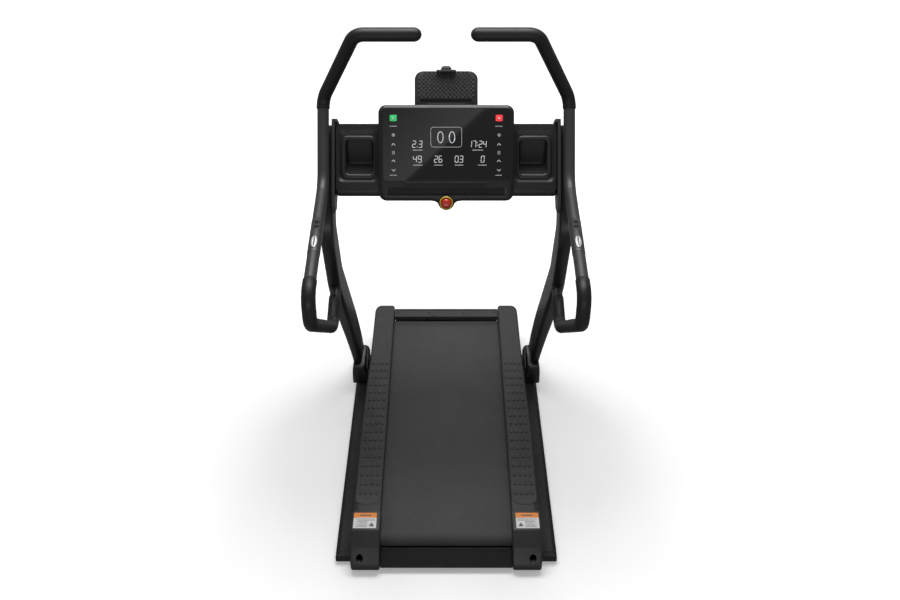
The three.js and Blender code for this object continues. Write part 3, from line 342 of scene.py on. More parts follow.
class Parts:
    """Verts and faces of several closed shapes, gathered into one mesh."""

    def __init__(self):
        self.verts = []
        self.faces = []

    def add(self, verts, faces):
        start = len(self.verts)
        self.verts += [tuple(v) for v in verts]
        self.faces += [tuple(i + start for i in face) for face in faces]
        return self

    def prism(self, outline, low, high, plane="xz"):
        """An outline of (a, b) pairs carried along the third axis."""
        n = len(outline)
        verts = [spot_in(plane, a, b, c) for c in (low, high) for a, b in outline]
        faces = [tuple(range(n))[::-1], tuple(range(n, 2 * n))]
        faces += [(i, (i + 1) % n, n + (i + 1) % n, n + i) for i in range(n)]
        return self.add(verts, faces)

    def block(self, x0, x1, y0, y1, z0, z1):
        return self.prism([(x0, z0), (x1, z0), (x1, z1), (x0, z1)], y0, y1)

    def lathe(self, profile, centre=(0, 0, 0), axis="y", sides=32):
        """A profile of (radius, along) pairs turned about an axis through centre."""
        def point(r, s, angle):
            u, v = r * math.cos(angle), r * math.sin(angle)
            x, y, z = {"y": (u, s, v), "x": (s, u, v), "z": (u, v, s)}[axis]
            return x + centre[0], y + centre[1], z + centre[2]
        rows, verts = [], []
        for r, s in profile:
            count = 1 if r < 1e-6 else sides
            rows.append(range(len(verts), len(verts) + count))
            verts += [point(r, s, 2 * math.pi * i / sides) for i in range(count)]
        faces = []
        for a, b in zip(rows, rows[1:]):
            for i in range(sides):
                j = (i + 1) % sides
                if len(a) == 1 and len(b) > 1:
                    faces.append((a[0], b[i], b[j]))
                elif len(b) == 1 and len(a) > 1:
                    faces.append((a[i], b[0], a[j]))
                elif len(a) > 1:
                    faces.append((a[i], b[i], b[j], a[j]))
        return self.add(verts, faces)

    def loft(self, rings):
        """A closed shape through rings of equally many points, capped at both ends."""
        n = len(rings[0])
        verts = [point for ring in rings for point in ring]
        faces = [tuple(range(n))[::-1], tuple(range(len(verts) - n, len(verts)))]
        for k in range(len(rings) - 1):
            faces += [(k * n + i, k * n + (i + 1) % n, (k + 1) * n + (i + 1) % n, (k + 1) * n + i)
                      for i in range(n)]
        return self.add(verts, faces)

    def stack(self, layers, plane="xz", sign=1):
        """A closed shape through (outline, distance) layers, on the +X side or (sign -1) mirrored."""
        rings = [[spot_in(plane, a, b, c) for a, b in outline] for outline, c in layers]
        return self.loft([turned_out(ring, sign) for ring in rings])

    def sweep(self, stations, section):
        """A closed section of (u, v) pairs carried along stations of (point, tangent, scale)."""
        rings = []
        side = Vector((1, 0, 0))
        for at, along, scale in stations:
            side = (side - along * along.dot(side)).normalized()
            up = along.cross(side)
            rings.append([at + side * u * scale + up * v * scale for u, v in section])
        return self.loft(rings)

    def made(self, name, material, body="base", place=PLAIN, **more):
        return build(name, self.verts, self.faces, material, body, place, **more)

    def stand_in(self, node, suffix, material, body="base", place=PLAIN, **more):
        """The finished shape that stands for a CAD node, named after it."""
        return self.made(f"{node}_{suffix}", material, body, place, replaces=(node,), **more)


def turned_out(ring, sign):
    """A ring drawn on the +X side, or its mirror image."""
    return [(x * sign, y, z) for x, y, z in ring]


def circle(radius, sides=36):
    return [(radius * math.cos(2 * math.pi * i / sides), radius * math.sin(2 * math.pi * i / sides))
            for i in range(sides)]


def rounded(x0, z0, x1, z1, r, steps=6):
    """A rectangle with round corners, anticlockwise."""
    points = []
    for cx, cz, start in ((x1 - r, z0 + r, -90), (x1 - r, z1 - r, 0),
                          (x0 + r, z1 - r, 90), (x0 + r, z0 + r, 180)):
        for i in range(steps + 1):
            angle = math.radians(start + 90 * i / steps)
            points.append((cx + r * math.cos(angle), cz + r * math.sin(angle)))
    return points


def softened(corners, steps=4):
    """A polygon of (a, b, radius) corners with each corner rounded by a smooth curve."""
    points = []
    n = len(corners)
    for i, (a, b, radius) in enumerate(corners):
        here = Vector((a, b))
        before, after = Vector(corners[i - 1][:2]) - here, Vector(corners[(i + 1) % n][:2]) - here
        if radius <= 0:
            points.append((a, b))
            continue
        reach = min(radius, before.length * 0.49, after.length * 0.49)
        start, end = here + before.normalized() * reach, here + after.normalized() * reach
        for k in range(steps + 1):
            t = k / steps
            spot = start * (1 - t) ** 2 + here * (2 * t * (1 - t)) + end * t * t
            points.append(tuple(spot))
    return points


def bent(corners, degrees=5, spacing=60):
    """Stations (point, tangent) along straight runs and round bends of (x, y, z, radius) corners."""
    points = [Vector(c[:3]) for c in corners]
    stations = []

    def run(a, b):
        count = max(1, round((b - a).length / spacing))
        along = (b - a).normalized()
        for i in range(count + 1):
            spot = a.lerp(b, i / count)
            if not stations or (stations[-1][0] - spot).length > 0.01:
                stations.append((spot, along))

    begin = points[0]
    for i in range(1, len(points) - 1):
        before = (points[i] - points[i - 1]).normalized()
        after = (points[i + 1] - points[i]).normalized()
        turn = before.angle(after)
        radius = corners[i][3]
        reach = radius * math.tan(turn / 2)
        start = points[i] - before * reach
        run(begin, start)
        axis = before.cross(after).normalized()
        centre = start + axis.cross(before) * radius
        steps = max(2, round(math.degrees(turn) / degrees))
        for k in range(1, steps + 1):
            twist = Matrix.Rotation(turn * k / steps, 3, axis)
            stations.append((centre + twist @ (start - centre), twist @ before))
        begin = points[i] + after * reach
    run(begin, points[-1])
    return stations


def mirrored(stations, sign):
    """Stations drawn on the +X side, or their mirror image."""
    flip = Vector((sign, 1, 1))
    return [(at * flip, along * flip) for at, along in stations]


def carve(obj, *cutters, overlapping=False):
    """Cuts closed shapes (Parts in the place's millimetres, placed) out of an object, for good."""
    for parts, place in cutters:
        tool = build("cutter", parts.verts, parts.faces, rubber, place=place)
        cut = obj.modifiers.new("cut", "BOOLEAN")
        cut.object = tool
        cut.operation = "DIFFERENCE"
        cut.solver = "EXACT"
        cut.use_self = overlapping
        bpy.context.view_layer.update()
        evaluated = obj.evaluated_get(bpy.context.evaluated_depsgraph_get())
        mesh = bpy.data.meshes.new_from_object(evaluated)
        obj.modifiers.remove(cut)
        obj.data = mesh
        bpy.data.objects.remove(tool)
    shaded(obj.data, 32)
    return obj


# ------------------------------------------------------------------ uprights
def slimmed(point):
    """A point of an upright moved as SLIMMING says."""
    drop = (SLIMMING["top"] - point.z) / (SLIMMING["top"] - SLIMMING["bottom"])
    share = SLIMMING["share"] * min(1.0, max(0.0, drop))
    return Vector((point.x + (SLIMMING["x"] - point.x) * share, point.y, point.z))


def upright(side, sign):
    """An oval tube swept along UPRIGHT_LINE, cut level at its foot and rounded at its top edge."""
    half_width, half_depth = UPRIGHT_HALF
    section = rounded(-half_width, -half_depth, half_width, half_depth, 12, 5)
    stations = [(at, along, 1.0) for at, along in bent(UPRIGHT_LINE, 4, 45)]
    tip, along, _ = stations[-1]
    stations[-1] = (tip - along * 3, along, 1.0)
    stations += [(tip - along * 1, along, 0.985), (tip, along, 0.95)]
    shape = Parts().sweep(stations, section)
    count = len(section)
    first_along = stations[0][1]
    verts = []
    for i, v in enumerate(shape.verts):
        v = Vector(v)
        if i < count or v.z < UPRIGHT_FOOT:
            v = v + first_along * ((UPRIGHT_FOOT - v.z) / first_along.z)
        v = slimmed(v)
        verts.append((v.x * sign, v.y, v.z))
    build(f"upright_{side}_tube", verts, shape.faces, powder, replaces=(f"upright_{side}",), smooth=30)


for side, sign in SIDES:
    upright(side, sign)


# ------------------------------------------------------------------ handlebars
def bar_point(corner, share):
    """The point so far along the handlebar's run that starts at a corner."""
    a, b = Vector(BAR_LINE[corner][:3]), Vector(BAR_LINE[corner + 1][:3])
    return tuple(a.lerp(b, share))


def grip(node, corners, sign, dome):
    """A foam sleeve along the bar: both ends rolled in, or a dome over the bar's free end."""
    stations = mirrored(bent(corners, 5, 30), sign)
    swept = [(at, along, 1.0) for at, along in stations]
    first, along, _ = swept[0]
    lip = [(first + along * s, along, k) for s, k in ((0, 0.91), (0.4, 0.96), (1.6, 1.0))]
    swept = lip + swept[1:]
    last, along, _ = swept[-1]
    if dome:
        cap = [(last + along * 22 * math.sin(a), along, math.cos(a))
               for a in (math.radians(d) for d in (15, 30, 45, 57, 68, 78, 86))]
        swept = swept + cap
    else:
        swept = swept[:-1] + [(last - along * s, along, k) for s, k in ((1.6, 1.0), (0.4, 0.96), (0, 0.91))]
    obj = Parts().sweep(swept, circle(FOAM_RADIUS, 40)).stand_in(node, "foam", foam, smooth=60)


def bar_place(share, sign):
    """A frame on top of the loop's straight run: Y along the bar, Z straight out of it."""
    a, b = Vector(BAR_LINE[3][:3]), Vector(BAR_LINE[4][:3])
    spot = a.lerp(b, share)
    slope = math.atan2(b.z - a.z, b.y - a.y)
    where = Matrix.Translation((spot.x * sign / 1000, spot.y / 1000, spot.z / 1000))
    return where @ Matrix.Rotation(slope, 4, "X") @ Matrix.Scale(0.001, 4)


def sensor(side, sign):
    """Two curved plates in an oval bezel, with a gap along the middle, wrapped over the bar."""
    half_length, half_width, gap, inset = 25.5, 10.0, 0.9, 0.7
    rings = []
    for scale, height in ((1.10, 0.2), (1.08, 1.2), (1.0, 1.6)):
        rings.append([wrapped((half_width * scale * math.cos(t), half_length * scale * math.sin(t), height))
                      for t in (2 * math.pi * i / 48 for i in range(48))])
    Parts().loft(rings).made(f"pulse_sensor_{side}_bezel", panel_plastic, place=bar_place(SENSOR_AT, sign),
                             smooth=50)
    plates = Parts()
    for half in (-1, 1):
        outline = []
        steps = 22
        for i in range(steps + 1):
            t = -math.pi / 2 + math.pi * i / steps
            x = max(gap, (half_width - inset) * math.cos(t))
            outline.append((half * x, (half_length - inset) * math.sin(t)))
        outline += [(half * (gap + math.sin(math.pi * k / 6) * 0.8), (half_length - 0.9) * (1 - k / 3))
                    for k in range(1, 6)]
        if half < 0:
            outline.reverse()
        m = len(outline)
        cx, cy = sum(p[0] for p in outline) / m, sum(p[1] for p in outline) / m
        plates.loft([[wrapped((cx + (x - cx) * shrink, cy + (y - cy) * shrink, height)) for x, y in outline]
                     for shrink, height in ((1.0, 1.4), (1.0, 2.5), (0.93, 3.1), (0.72, 3.5))])
    plates.stand_in(f"pulse_sensor_{side}", "plates", chrome, place=bar_place(SENSOR_AT, sign), smooth=50)


def wrapped(v):
    """A point drawn flat above the bar, wrapped round it."""
    x, y, height = v
    angle = x / (BAR_RADIUS + 2)
    radius = BAR_RADIUS + height
    return radius * math.sin(angle), y, radius * math.cos(angle)


def bar_button(name, body, share, sign):
    """A rubber cap that moves, with a fixed rim round it."""
    def turned(profile):
        return Parts().lathe([(r, s + BAR_RADIUS) for r, s in profile], axis="z", sides=28)

    turned([(0, 2.5), (5.4, 2.5), (5.8, 2.8), (5.8, 3.2), (5.4, 4.1), (4.4, 4.7), (2.6, 4.9), (1.8, 4.5),
            (0, 4.3)]).stand_in(name, "cap", rubber, body, bar_place(share, sign), smooth=45)
    turned([(6.3, -1.0), (7.3, -1.0), (7.3, 1.9), (6.9, 2.3), (6.3, 2.3), (6.3, -1.0)]).made(
        name + "_rim", bar_paint, place=bar_place(share, sign), smooth=45)


for side, sign in SIDES:
    inner_bar = [(at, along, 1.0) for at, along in mirrored(bent(BAR_LINE, 5, 50), sign)]
    Parts().sweep(inner_bar, circle(BAR_RADIUS, 40)).stand_in(
        f"handle_tube_{side}", "bent", bar_paint, smooth=60)
    grip(f"lower_grip_{side}", [bar_point(0, LOWER_GRIP_FROM) + (0,), *BAR_LINE[1:4],
                                  bar_point(3, LOWER_GRIP_TO) + (0,)], sign, dome=False)
    grip(f"upper_grip_{side}", [bar_point(4, UPPER_GRIP_FROM) + (0,), *BAR_LINE[5:]], sign, dome=True)
    sensor(side, sign)
    for end, share in (("rear", REAR_BUTTON_AT), ("front", FRONT_BUTTON_AT)):
        bar_button(f"{end}_button_{side}", f"{side}_{end}_button", share, sign)
    # Moulded shell round the bar's straight run that holds the sensor and the buttons.
    begin, end = Vector(bar_point(3, SHELL_FROM)), Vector(bar_point(3, SHELL_TO))
    along = (end - begin).normalized()
    shell = [(begin + along * s, along, k) for s, k in ((0, 0.985), (0.8, 1.0))]
    shell += [(end - along * s, along, k) for s, k in ((0.8, 1.0), (0, 0.985))]
    shell = [(Vector((at.x * sign, at.y, at.z)), t, k) for at, t, k in shell]
    Parts().sweep(shell, circle(BAR_RADIUS + 0.9, 40)).made(f"sensor_shell_{side}", bar_paint, smooth=60)
    # Welded collar where the bar meets the upright.
    joint, following = Vector(bar_point(0, 0.12)), Vector(bar_point(0, 0.30))
    along = (following - joint).normalized()
    collar = [(joint, along, 1.0), (joint + along * 14, along, 1.0), (joint + along * 15, along, 0.985)]
    collar = [(Vector((at.x * sign, at.y, at.z)), t, k) for at, t, k in collar]
    Parts().sweep(collar, circle(BAR_RADIUS + 1.0, 40)).made(f"bar_collar_{side}", powder, smooth=50)


def shrunk(outline, margin):
    """An anticlockwise outline drawn in by a margin."""
    moved = []
    n = len(outline)
    for i, (x, z) in enumerate(outline):
        normals = []
        for a, b in ((outline[i - 1], (x, z)), ((x, z), outline[(i + 1) % n])):
            edge = Vector((b[0] - a[0], b[1] - a[1]))
            if edge.length > 1e-6:
                normals.append(Vector((-edge.y, edge.x)).normalized())
        mean = (normals[0] + normals[-1]).normalized()
        reach = margin / max(0.5, mean.dot(normals[0]))
        moved.append((x + mean.x * reach, z + mean.y * reach))
    return moved


def ring_at(outline, y):
    """An (x, z) outline as a ring of points at y."""
    return [(x, y, z) for x, z in outline]


# ------------------------------------------------------------------ cross panel and cup wells
PANEL_HALF = 346.6
PANEL_TOP = 224
PANEL_DEPTH = 84
LEAN_RISE = math.tan(math.radians(PANEL_LEAN))

front_outline = rounded(-PANEL_HALF, 0, PANEL_HALF, PANEL_TOP, 10)
face_outline = rounded(-PANEL_HALF + 2.5, 13, PANEL_HALF - 2.5, PANEL_TOP - 3, 9)
shoulder_outline = rounded(-PANEL_HALF + 0.6, 1.5, PANEL_HALF - 0.6, PANEL_TOP - 0.8, 10)
panel_front = Parts().stack([(front_outline, 40), (front_outline, 9), (shoulder_outline, 6.5),
                             (face_outline, 0)]).stand_in("cross_panel", "front", panel_plastic, place=PANEL)
panel_core = rounded(-PANEL_HALF + 4, 4, PANEL_HALF - 4, PANEL_TOP - 4, 7)
cutters = [(Parts().stack([(panel_core, 13), (panel_core, 41)]), PANEL)]
for side, sign in SIDES:
    pan = [(rounded(208.6, 39.3, 341.2, 205.4, 21), -0.5), (rounded(209.5, 40.5, 339.6, 203, 20), 0.6),
           (rounded(217, 46.2, 331.5, 191.5, 17), 7.2), (rounded(218.6, 47.6, 330, 189.6, 16), 8)]
    window = rounded(223.5, 61, 319.5, 177, 16)
    for layers in (pan, [(window, 4), (window, 20)]):
        cutters.append((Parts().stack(layers, sign=sign), PANEL))
cutters.append((Parts().block(-210, 210, -0.5, 44.5, -0.5, 294.5), CONSOLE))
carve(panel_front, *cutters)
dress(panel_front, "base", panel_plastic, bevel=0.7)


def well_ring(x0, x1, floor, ceiling, r):
    """A ring in the slanting plane from a point of the well's floor to one of its back or top."""
    (y0, z0), (y1, z1) = floor, ceiling
    length = math.hypot(y1 - y0, z1 - z0)
    return [(x, y0 + (y1 - y0) * v / length, z0 + (z1 - z0) * v / length)
            for x, v in rounded(x0, 0, x1, length, min(r, length * 0.45))]


def cup_well(side, sign):
    front, depth, bottom, top, wall = 4.7, 62, 64, 175, 2.5
    left, right = 227, 316
    heel = bottom + depth * LEAN_RISE
    back = front + depth
    knee = back - (top - heel) * LEAN_RISE

    def pocket(grow):
        """Rings from the mouth down to the end of the well, grown outwards for its outer skin."""
        def spot(kind, share):
            if kind == "floor":
                return front + (depth + grow) * share, bottom - grow + (heel - bottom) * share
            return knee + grow + (back - knee) * share, top + grow - (top - heel) * share
        rings = []
        for down, along, inset, r in ((0.06, 0.0, 0.5, 15), (0.3, 0.12, 1.2, 14), (0.55, 0.4, 2, 13),
                                      (0.78, 0.68, 3, 11), (0.92, 0.87, 4.5, 8), (0.985, 0.965, 7, 4)):
            rings.append(well_ring(left - grow + inset, right + grow - inset,
                                   spot("floor", down), spot("back", along), r))
        return rings

    rim = [(rounded(222.6, 57.5, 320.6, 179.4, 17), 7.9), (rounded(221.3, 52.0, 329.6, 185.6, 18), 8.0),
           (rounded(221.3, 52.0, 329.6, 185.6, 18), 5.6), (rounded(222.6, 53.4, 328.2, 184.2, 17), 4.3),
           (rounded(225.0, 60.5, 320.0, 176.5, 16), 3.6), (rounded(226.4, 63.6, 316.8, 174.2, 15.5), 4.6)]
    rings = pocket(wall)[::-1] + [ring_at(o, y) for o, y in rim] + pocket(0)
    Parts().loft([turned_out(ring, sign) for ring in rings]).made(
        f"cup_well_{side}", liner, place=PANEL, replaces=(f"cup_liner_{side}",), smooth=44)


def side_bracket(side, sign):
    """The plate between the panel's end, the handlebar and the upright, with its lip."""
    plate = softened([(-8, -36, 6), (14, -58, 10), (60, -38, 10), (96, 60, 20), (92, PANEL_TOP - 20, 12),
                      (60, PANEL_TOP + 12, 6), (-14, PANEL_TOP + 12, 3), (-14, 0, 6)])
    worn, lip = shrunk(plate, 1.4), rounded(-14, PANEL_TOP + 0.3, 44, PANEL_TOP + 12, 2.5)
    shape = Parts().stack([(worn, 346.9), (plate, 348.3), (plate, 355.2), (worn, 356.6)], "yz", sign)
    shape.stack([(shrunk(lip, 1.4), 338.6), (lip, 340), (lip, 356.4)], "yz", sign)
    shape.stand_in(f"side_bracket_{side}", "plate", bar_paint, place=PANEL, smooth=34)


for side, sign in SIDES:
    cup_well(side, sign)
    side_bracket(side, sign)
refined("cross_panel_back", panel_plastic, bevel=2.5, segments=3)
refined("cross_beam", frame_paint, bevel=1.5)

# ------------------------------------------------------------------ console
CONSOLE_HALF = 209.5
CONSOLE_TOP = 294
CONSOLE_DEPTH = 44
STOP_AT = (0, -4, -6)                    # the stop button's middle on the console's face
KEY_X = 163                              # the two columns of keys
LOBE_RADIUS = 26


def console_outline():
    """The console's face, with the lobe under its lower edge that carries the stop button."""
    points = rounded(-CONSOLE_HALF, 0, CONSOLE_HALF, CONSOLE_TOP, 25, 8)
    corner = len(points) // 4
    lobe = []
    for i in range(7):
        t = i / 6
        x = (1 - t) ** 2 * -48 + 2 * t * (1 - t) * -29 + t * t * -24.4
        z = 2 * t * (1 - t) * -1.0 + t * t * -10.9
        lobe.append((x, z))
    for i in range(1, 12):
        angle = math.radians(200 + 140 * i / 12)
        lobe.append((LOBE_RADIUS * math.cos(angle), -2 + LOBE_RADIUS * math.sin(angle)))
    lobe += [(-x, z) for x, z in lobe[6::-1]]
    return points[3 * corner:] + lobe + points[:3 * corner]


def trough(section, end, middle, deep, tall):
    """A section of (y, z) pairs run across the console, shallower and lower at both ends."""
    bottom = 17
    return Parts().loft([[(x, y * share, bottom + (z - bottom) * height) for y, z in section]
                         for x, share, height in ((-end, deep, tall), (-middle, 1, 1), (middle, 1, 1),
                                                  (end, deep, tall))])


case = console_outline()
bezel = Parts().stack([(case, 9.2), (case, 6.2), (shrunk(case, 1.0), 4.9), (shrunk(case, 10.0), 0.6),
                       (shrunk(case, 11.5), 0.0)]).stand_in(
    "console_bezel", "moulded", console_plastic, place=CONSOLE, smooth=30)
STOP_PLACE = CONSOLE @ Matrix.Translation(STOP_AT) @ Matrix.Rotation(math.radians(STOP_DROP), 4, "X")
groove = trough(((-1, 43.4), (-1, 16.6), (6.4, 17.6), (0.4, 43)), 189, 181, 0.5, 0.75)
glass_seat = Parts().prism(rounded(-198, 60, 198, 285, 14), -1, 2.6)
slot = Parts().prism(rounded(-124, 44.6, 124, 54.8, 3), -1, 2.4)
bore = Parts().lathe([(0, -20), (17, -20), (17, 30), (0, 30)], sides=40)
carve(bezel, (groove, CONSOLE), (glass_seat, CONSOLE), (slot, CONSOLE), (bore, STOP_PLACE))
dress(bezel, "base", console_plastic, bevel=0.5)
Parts().prism(rounded(-128, 54.2, 128, 58.4, 1.8), -5.0, 0.5).made(
    "console_ledge", console_plastic, place=CONSOLE, bevel=0.7)
Parts().prism(rounded(-121, 44.0, 121, 45.2, 0.5), -0.7, 0.5).made(
    "console_ledge_seam", console_plastic, place=CONSOLE, bevel=0.3)
refined("console_housing", console_plastic, bevel=3.0, segments=4)
trough(((6.5, 17.9), (6.0, 17.9), (0.3, 42.2), (0.8, 42.2)), 186, 180.4, 0.9, 0.94).made(
    "console_groove_inlay", matte_inlay, place=CONSOLE, smooth=30)
Parts().lathe([(17, 6), (22.8, 6), (22.8, -0.6), (22.0, -1.6), (20.6, -1.9), (17.2, -1.9), (17, -1.4),
               (17, 6)], sides=48).made("stop_boss", console_plastic, place=STOP_PLACE, smooth=40)

# The last ring lies flat inside the edge, so that the face reflects as one plane.
pane = rounded(-197.3, 60.7, 197.3, 284.3, 13.5)
Parts().stack([(pane, 2.4), (pane, -0.5), (rounded(-196.6, 61.4, 196.6, 283.6, 13), -0.9),
               (rounded(-195.6, 62.4, 195.6, 282.6, 12), -0.9)]).stand_in(
    "display_glass", "panel", glass, place=CONSOLE, smooth=30)

# Stop button: red dome in a yellow ring.
Parts().lathe([(16.9, -2.2), (20.4, -2.2), (20.7, -3.0), (20.2, -4.6), (19.0, -5.7), (17.7, -5.5),
               (16.9, -4.4), (16.9, -2.2)], sides=56).stand_in(
    "stop_ring", "moulded", stop_yellow, place=STOP_PLACE, smooth=50)
Parts().lathe([(0, 3.8), (10, 3.8), (10, -7.2), (13.6, -7.4), (14.9, -8.6), (15.0, -12.2), (14.5, -14.4),
               (13.2, -16.4), (10.8, -18.2), (7.4, -19.3), (3.6, -19.8), (0, -19.9)], sides=56).stand_in(
    "stop_button", "dome", stop_red, "stop_button", STOP_PLACE, smooth=50)


# ------------------------------------------------------------------ display legends
LIT = (-1.25, -0.85)                     # front and back of the thin lit shapes on the glass
SEGMENTS = {"0": "abcdef", "1": "bc", "2": "abged", "3": "abgcd", "4": "fgbc", "5": "afgcd", "6": "afgedc",
            "7": "abc", "8": "abcdefg", "9": "abcdfg"}


def bar_between(a, b, half):
    """A bar with pointed ends from a to b, as the segments of a number have."""
    a, b = Vector(a), Vector(b)
    along = (b - a).normalized()
    side = Vector((-along.y, along.x)) * half
    return [tuple(p) for p in (a, a + along * half - side, b - along * half - side, b,
                               b - along * half + side, a + along * half + side)]


def number(shape, text, x0, x1, z0, z1, stroke=0.6):
    """A number in seven-segment figures between x0 and x1."""
    slant, narrow, figure, dot, gap = 0.06, 0.42, 0.76, 1.8, 0.35
    units = sum(narrow if c in ".:" else 1.0 for c in text)
    wide = (x1 - x0) / units
    x = x0
    for c in text:
        if c in ".:":
            dot_x = x + wide * 0.06
            for z in ([z0 + 0.6] if c == "." else [z0 + (z1 - z0) * 0.3, z0 + (z1 - z0) * 0.68]):
                shape.prism([(dot_x, z), (dot_x + dot, z), (dot_x + dot, z + dot), (dot_x, z + dot)], *LIT)
            x += wide * narrow
            continue
        left, right = x + stroke, x + wide * figure - stroke
        low, high = z0 + stroke, z1 - stroke
        middle = (low + high) / 2
        ends = {"a": ((left, high), (right, high)), "b": ((right, middle), (right, high)),
                "c": ((right, low), (right, middle)), "d": ((left, low), (right, low)),
                "e": ((left, low), (left, middle)), "f": ((left, middle), (left, high)),
                "g": ((left, middle), (right, middle))}
        for name in SEGMENTS[c]:
            a, b = (Vector((px + (pz - z0) * slant, pz)) for px, pz in ends[name])
            inset = (b - a).normalized() * gap
            shape.prism(bar_between(a + inset, b - inset, stroke), *LIT)
        x += wide


def hollow(shape, outline, stroke):
    """The outline of a shape as a band of even width."""
    inner = shrunk(outline, stroke)
    n = len(outline)
    for i in range(n):
        j = (i + 1) % n
        shape.prism([outline[i], outline[j], inner[j], inner[i]], *LIT)


def oval(cx, cz, half_x, half_z, steps=28):
    return [(cx + half_x * math.cos(2 * math.pi * i / steps), cz + half_z * math.sin(2 * math.pi * i / steps))
            for i in range(steps)]


def legends():
    bright, dim, faint = Parts(), Parts(), Parts()
    for text, x0, x1, z0, z1 in (
            ("2.3", -105, -71.5, 164, 184.6), ("17:24", 68.5, 126.5, 164, 184.6),
            ("49", -103.5, -73, 118.3, 138.7), ("26", -37.6, -9.9, 118.3, 138.7),
            ("03", 26.2, 54.8, 118.3, 138.7), ("0", 107, 121, 118.3, 138.7)):
        number(bright, text, x0, x1, z0, z1)
    for x in (-17.9, 17.9):
        hollow(dim, oval(x, 195.3, 9.6, 18.2), 2.4)
    hollow(dim, rounded(-48.2, 165, 48.2, 226.4, 9), 0.9)
    for z, spots in ((156.2, ((-88, 30), (98, 34))), (110.3, ((-88, 28), (-24, 26), (40, 26), (112, 28)))):
        for x, width in spots:
            strip(faint, x, z, width, 2.6)
    for x in (-KEY_X, KEY_X):
        for z in (228.9, 79.1):
            strip(faint, x, z, 22, 2.2)
        for z, up in ((173.6, 1), (123.2, 1), (94.7, -1)):
            half, rise = 5.6, 3.4 * up
            for end in (-half, half):
                dim.prism(bar_between((x + end, z - rise), (x, z + rise), 0.85), *LIT)
        hollow(faint, oval(x, 202, 4.8, 4.8, 24), 1.3)
        faint.prism(oval(x, 202, 2.0, 2.0, 16), *LIT)
        hollow(faint, rounded(x - 3.8, 143.4, x + 3.8, 153, 1.6), 1.2)
        strip(faint, x, 148.2, 4, 1.4)
    bright.made("legend_numbers", glow_white, place=CONSOLE)
    dim.made("legend_marks", glow_dim, place=CONSOLE)
    faint.made("legend_captions", glow_faint, place=CONSOLE)
    front, back = LIT
    for name, x, look in (("start", -KEY_X, glow_green), ("pause", KEY_X, glow_red)):
        corners = rounded(x - 10.7, 244, x + 10.7, 263.2, 3.4)
        Parts().stack([(corners, back), (corners, front), (shrunk(corners, 0.5), front - 0.25)]).made(
            f"key_{name}", look, place=CONSOLE, smooth=30)
    mark = Parts().prism([(-166, 249.4), (-159.4, 253.6), (-166, 257.8)], front - 0.5, back)
    mark.prism(rounded(159.8, 250.4, 166.2, 256.8, 1), front - 0.5, back)
    mark.made("key_symbols", glow_faint, place=CONSOLE)


def strip(shape, x, z, width, height):
    """A caption without words: a row of short dashes of seeded lengths."""
    spot = x - width / 2
    while spot < x + width / 2 - 1.2:
        step = min(random.choice((1.6, 2.2, 2.8, 3.4)), x + width / 2 - spot)
        shape.prism([(spot, z - height / 2), (spot + step, z - height / 2), (spot + step, z + height / 2),
                     (spot, z + height / 2)], *LIT)
        spot += step + 0.9


random.seed(7)
legends()

# ------------------------------------------------------------------ tablet rest
REST_HALF, REST_LOW, CLIP_TOP = 98.5, -12, 103
rest_outline = []                        # round above, square below
for x, z in rounded(-REST_HALF, REST_LOW, REST_HALF, CLIP_TOP, 26):
    point = (x, z) if z > 50 else (math.copysign(REST_HALF, x), REST_LOW if z < 14 else z)
    if not rest_outline or (Vector(point) - Vector(rest_outline[-1])).length > 0.5:
        rest_outline.append(point)
rest_plate = Parts().stack([(rest_outline, 9), (rest_outline, 2.2), (shrunk(rest_outline, 0.8), 0.8),
                            (shrunk(rest_outline, 3.0), 0)]).stand_in(
    "tablet_rest", "plate", panel_plastic, place=TABLET)
carve(rest_plate,
      (Parts().prism(rounded(-10.4, 40.6, 10.4, 110, 3), 2.6, 12), TABLET),
      (Parts().prism(rounded(-82, -16, 82, 13.5, 5), -2, 4.4), TABLET))
dress(rest_plate, "base", panel_plastic, bevel=0.6)
Parts().block(-59, 59, 0.2, 8.8, -28, 2).made("tablet_rest_tail", panel_plastic, place=TABLET, bevel=1.2)
studs = Parts()
ROW, COLUMN, STUD_REACH = 6.6, 12.8, 93
for row in range(13):
    z = 19.6 + row * ROW
    shift = COLUMN / 2 if row % 2 else 0
    for k in range(-8, 9):
        x = k * COLUMN + shift
        reach = STUD_REACH - max(0, z - 78) ** 2 * 0.05
        if abs(x) > reach - COLUMN * 0.4:
            continue
        # The top row ends short of the clip's thumb tab.
        half_x, half_z = COLUMN * 0.46, min(ROW * 0.92, CLIP_TOP + 0.4 - z)
        base = [(x - half_x, z), (x, z - half_z), (x + half_x, z), (x, z + half_z)]
        top = [(x + (px - x) * 0.35, z + (pz - z) * 0.35) for px, pz in base]
        studs.stack([(base, 0.4), (base, -0.2), (top, -2.4)])
studs.made("tablet_rest_studs", bar_paint, place=TABLET, smooth=20)

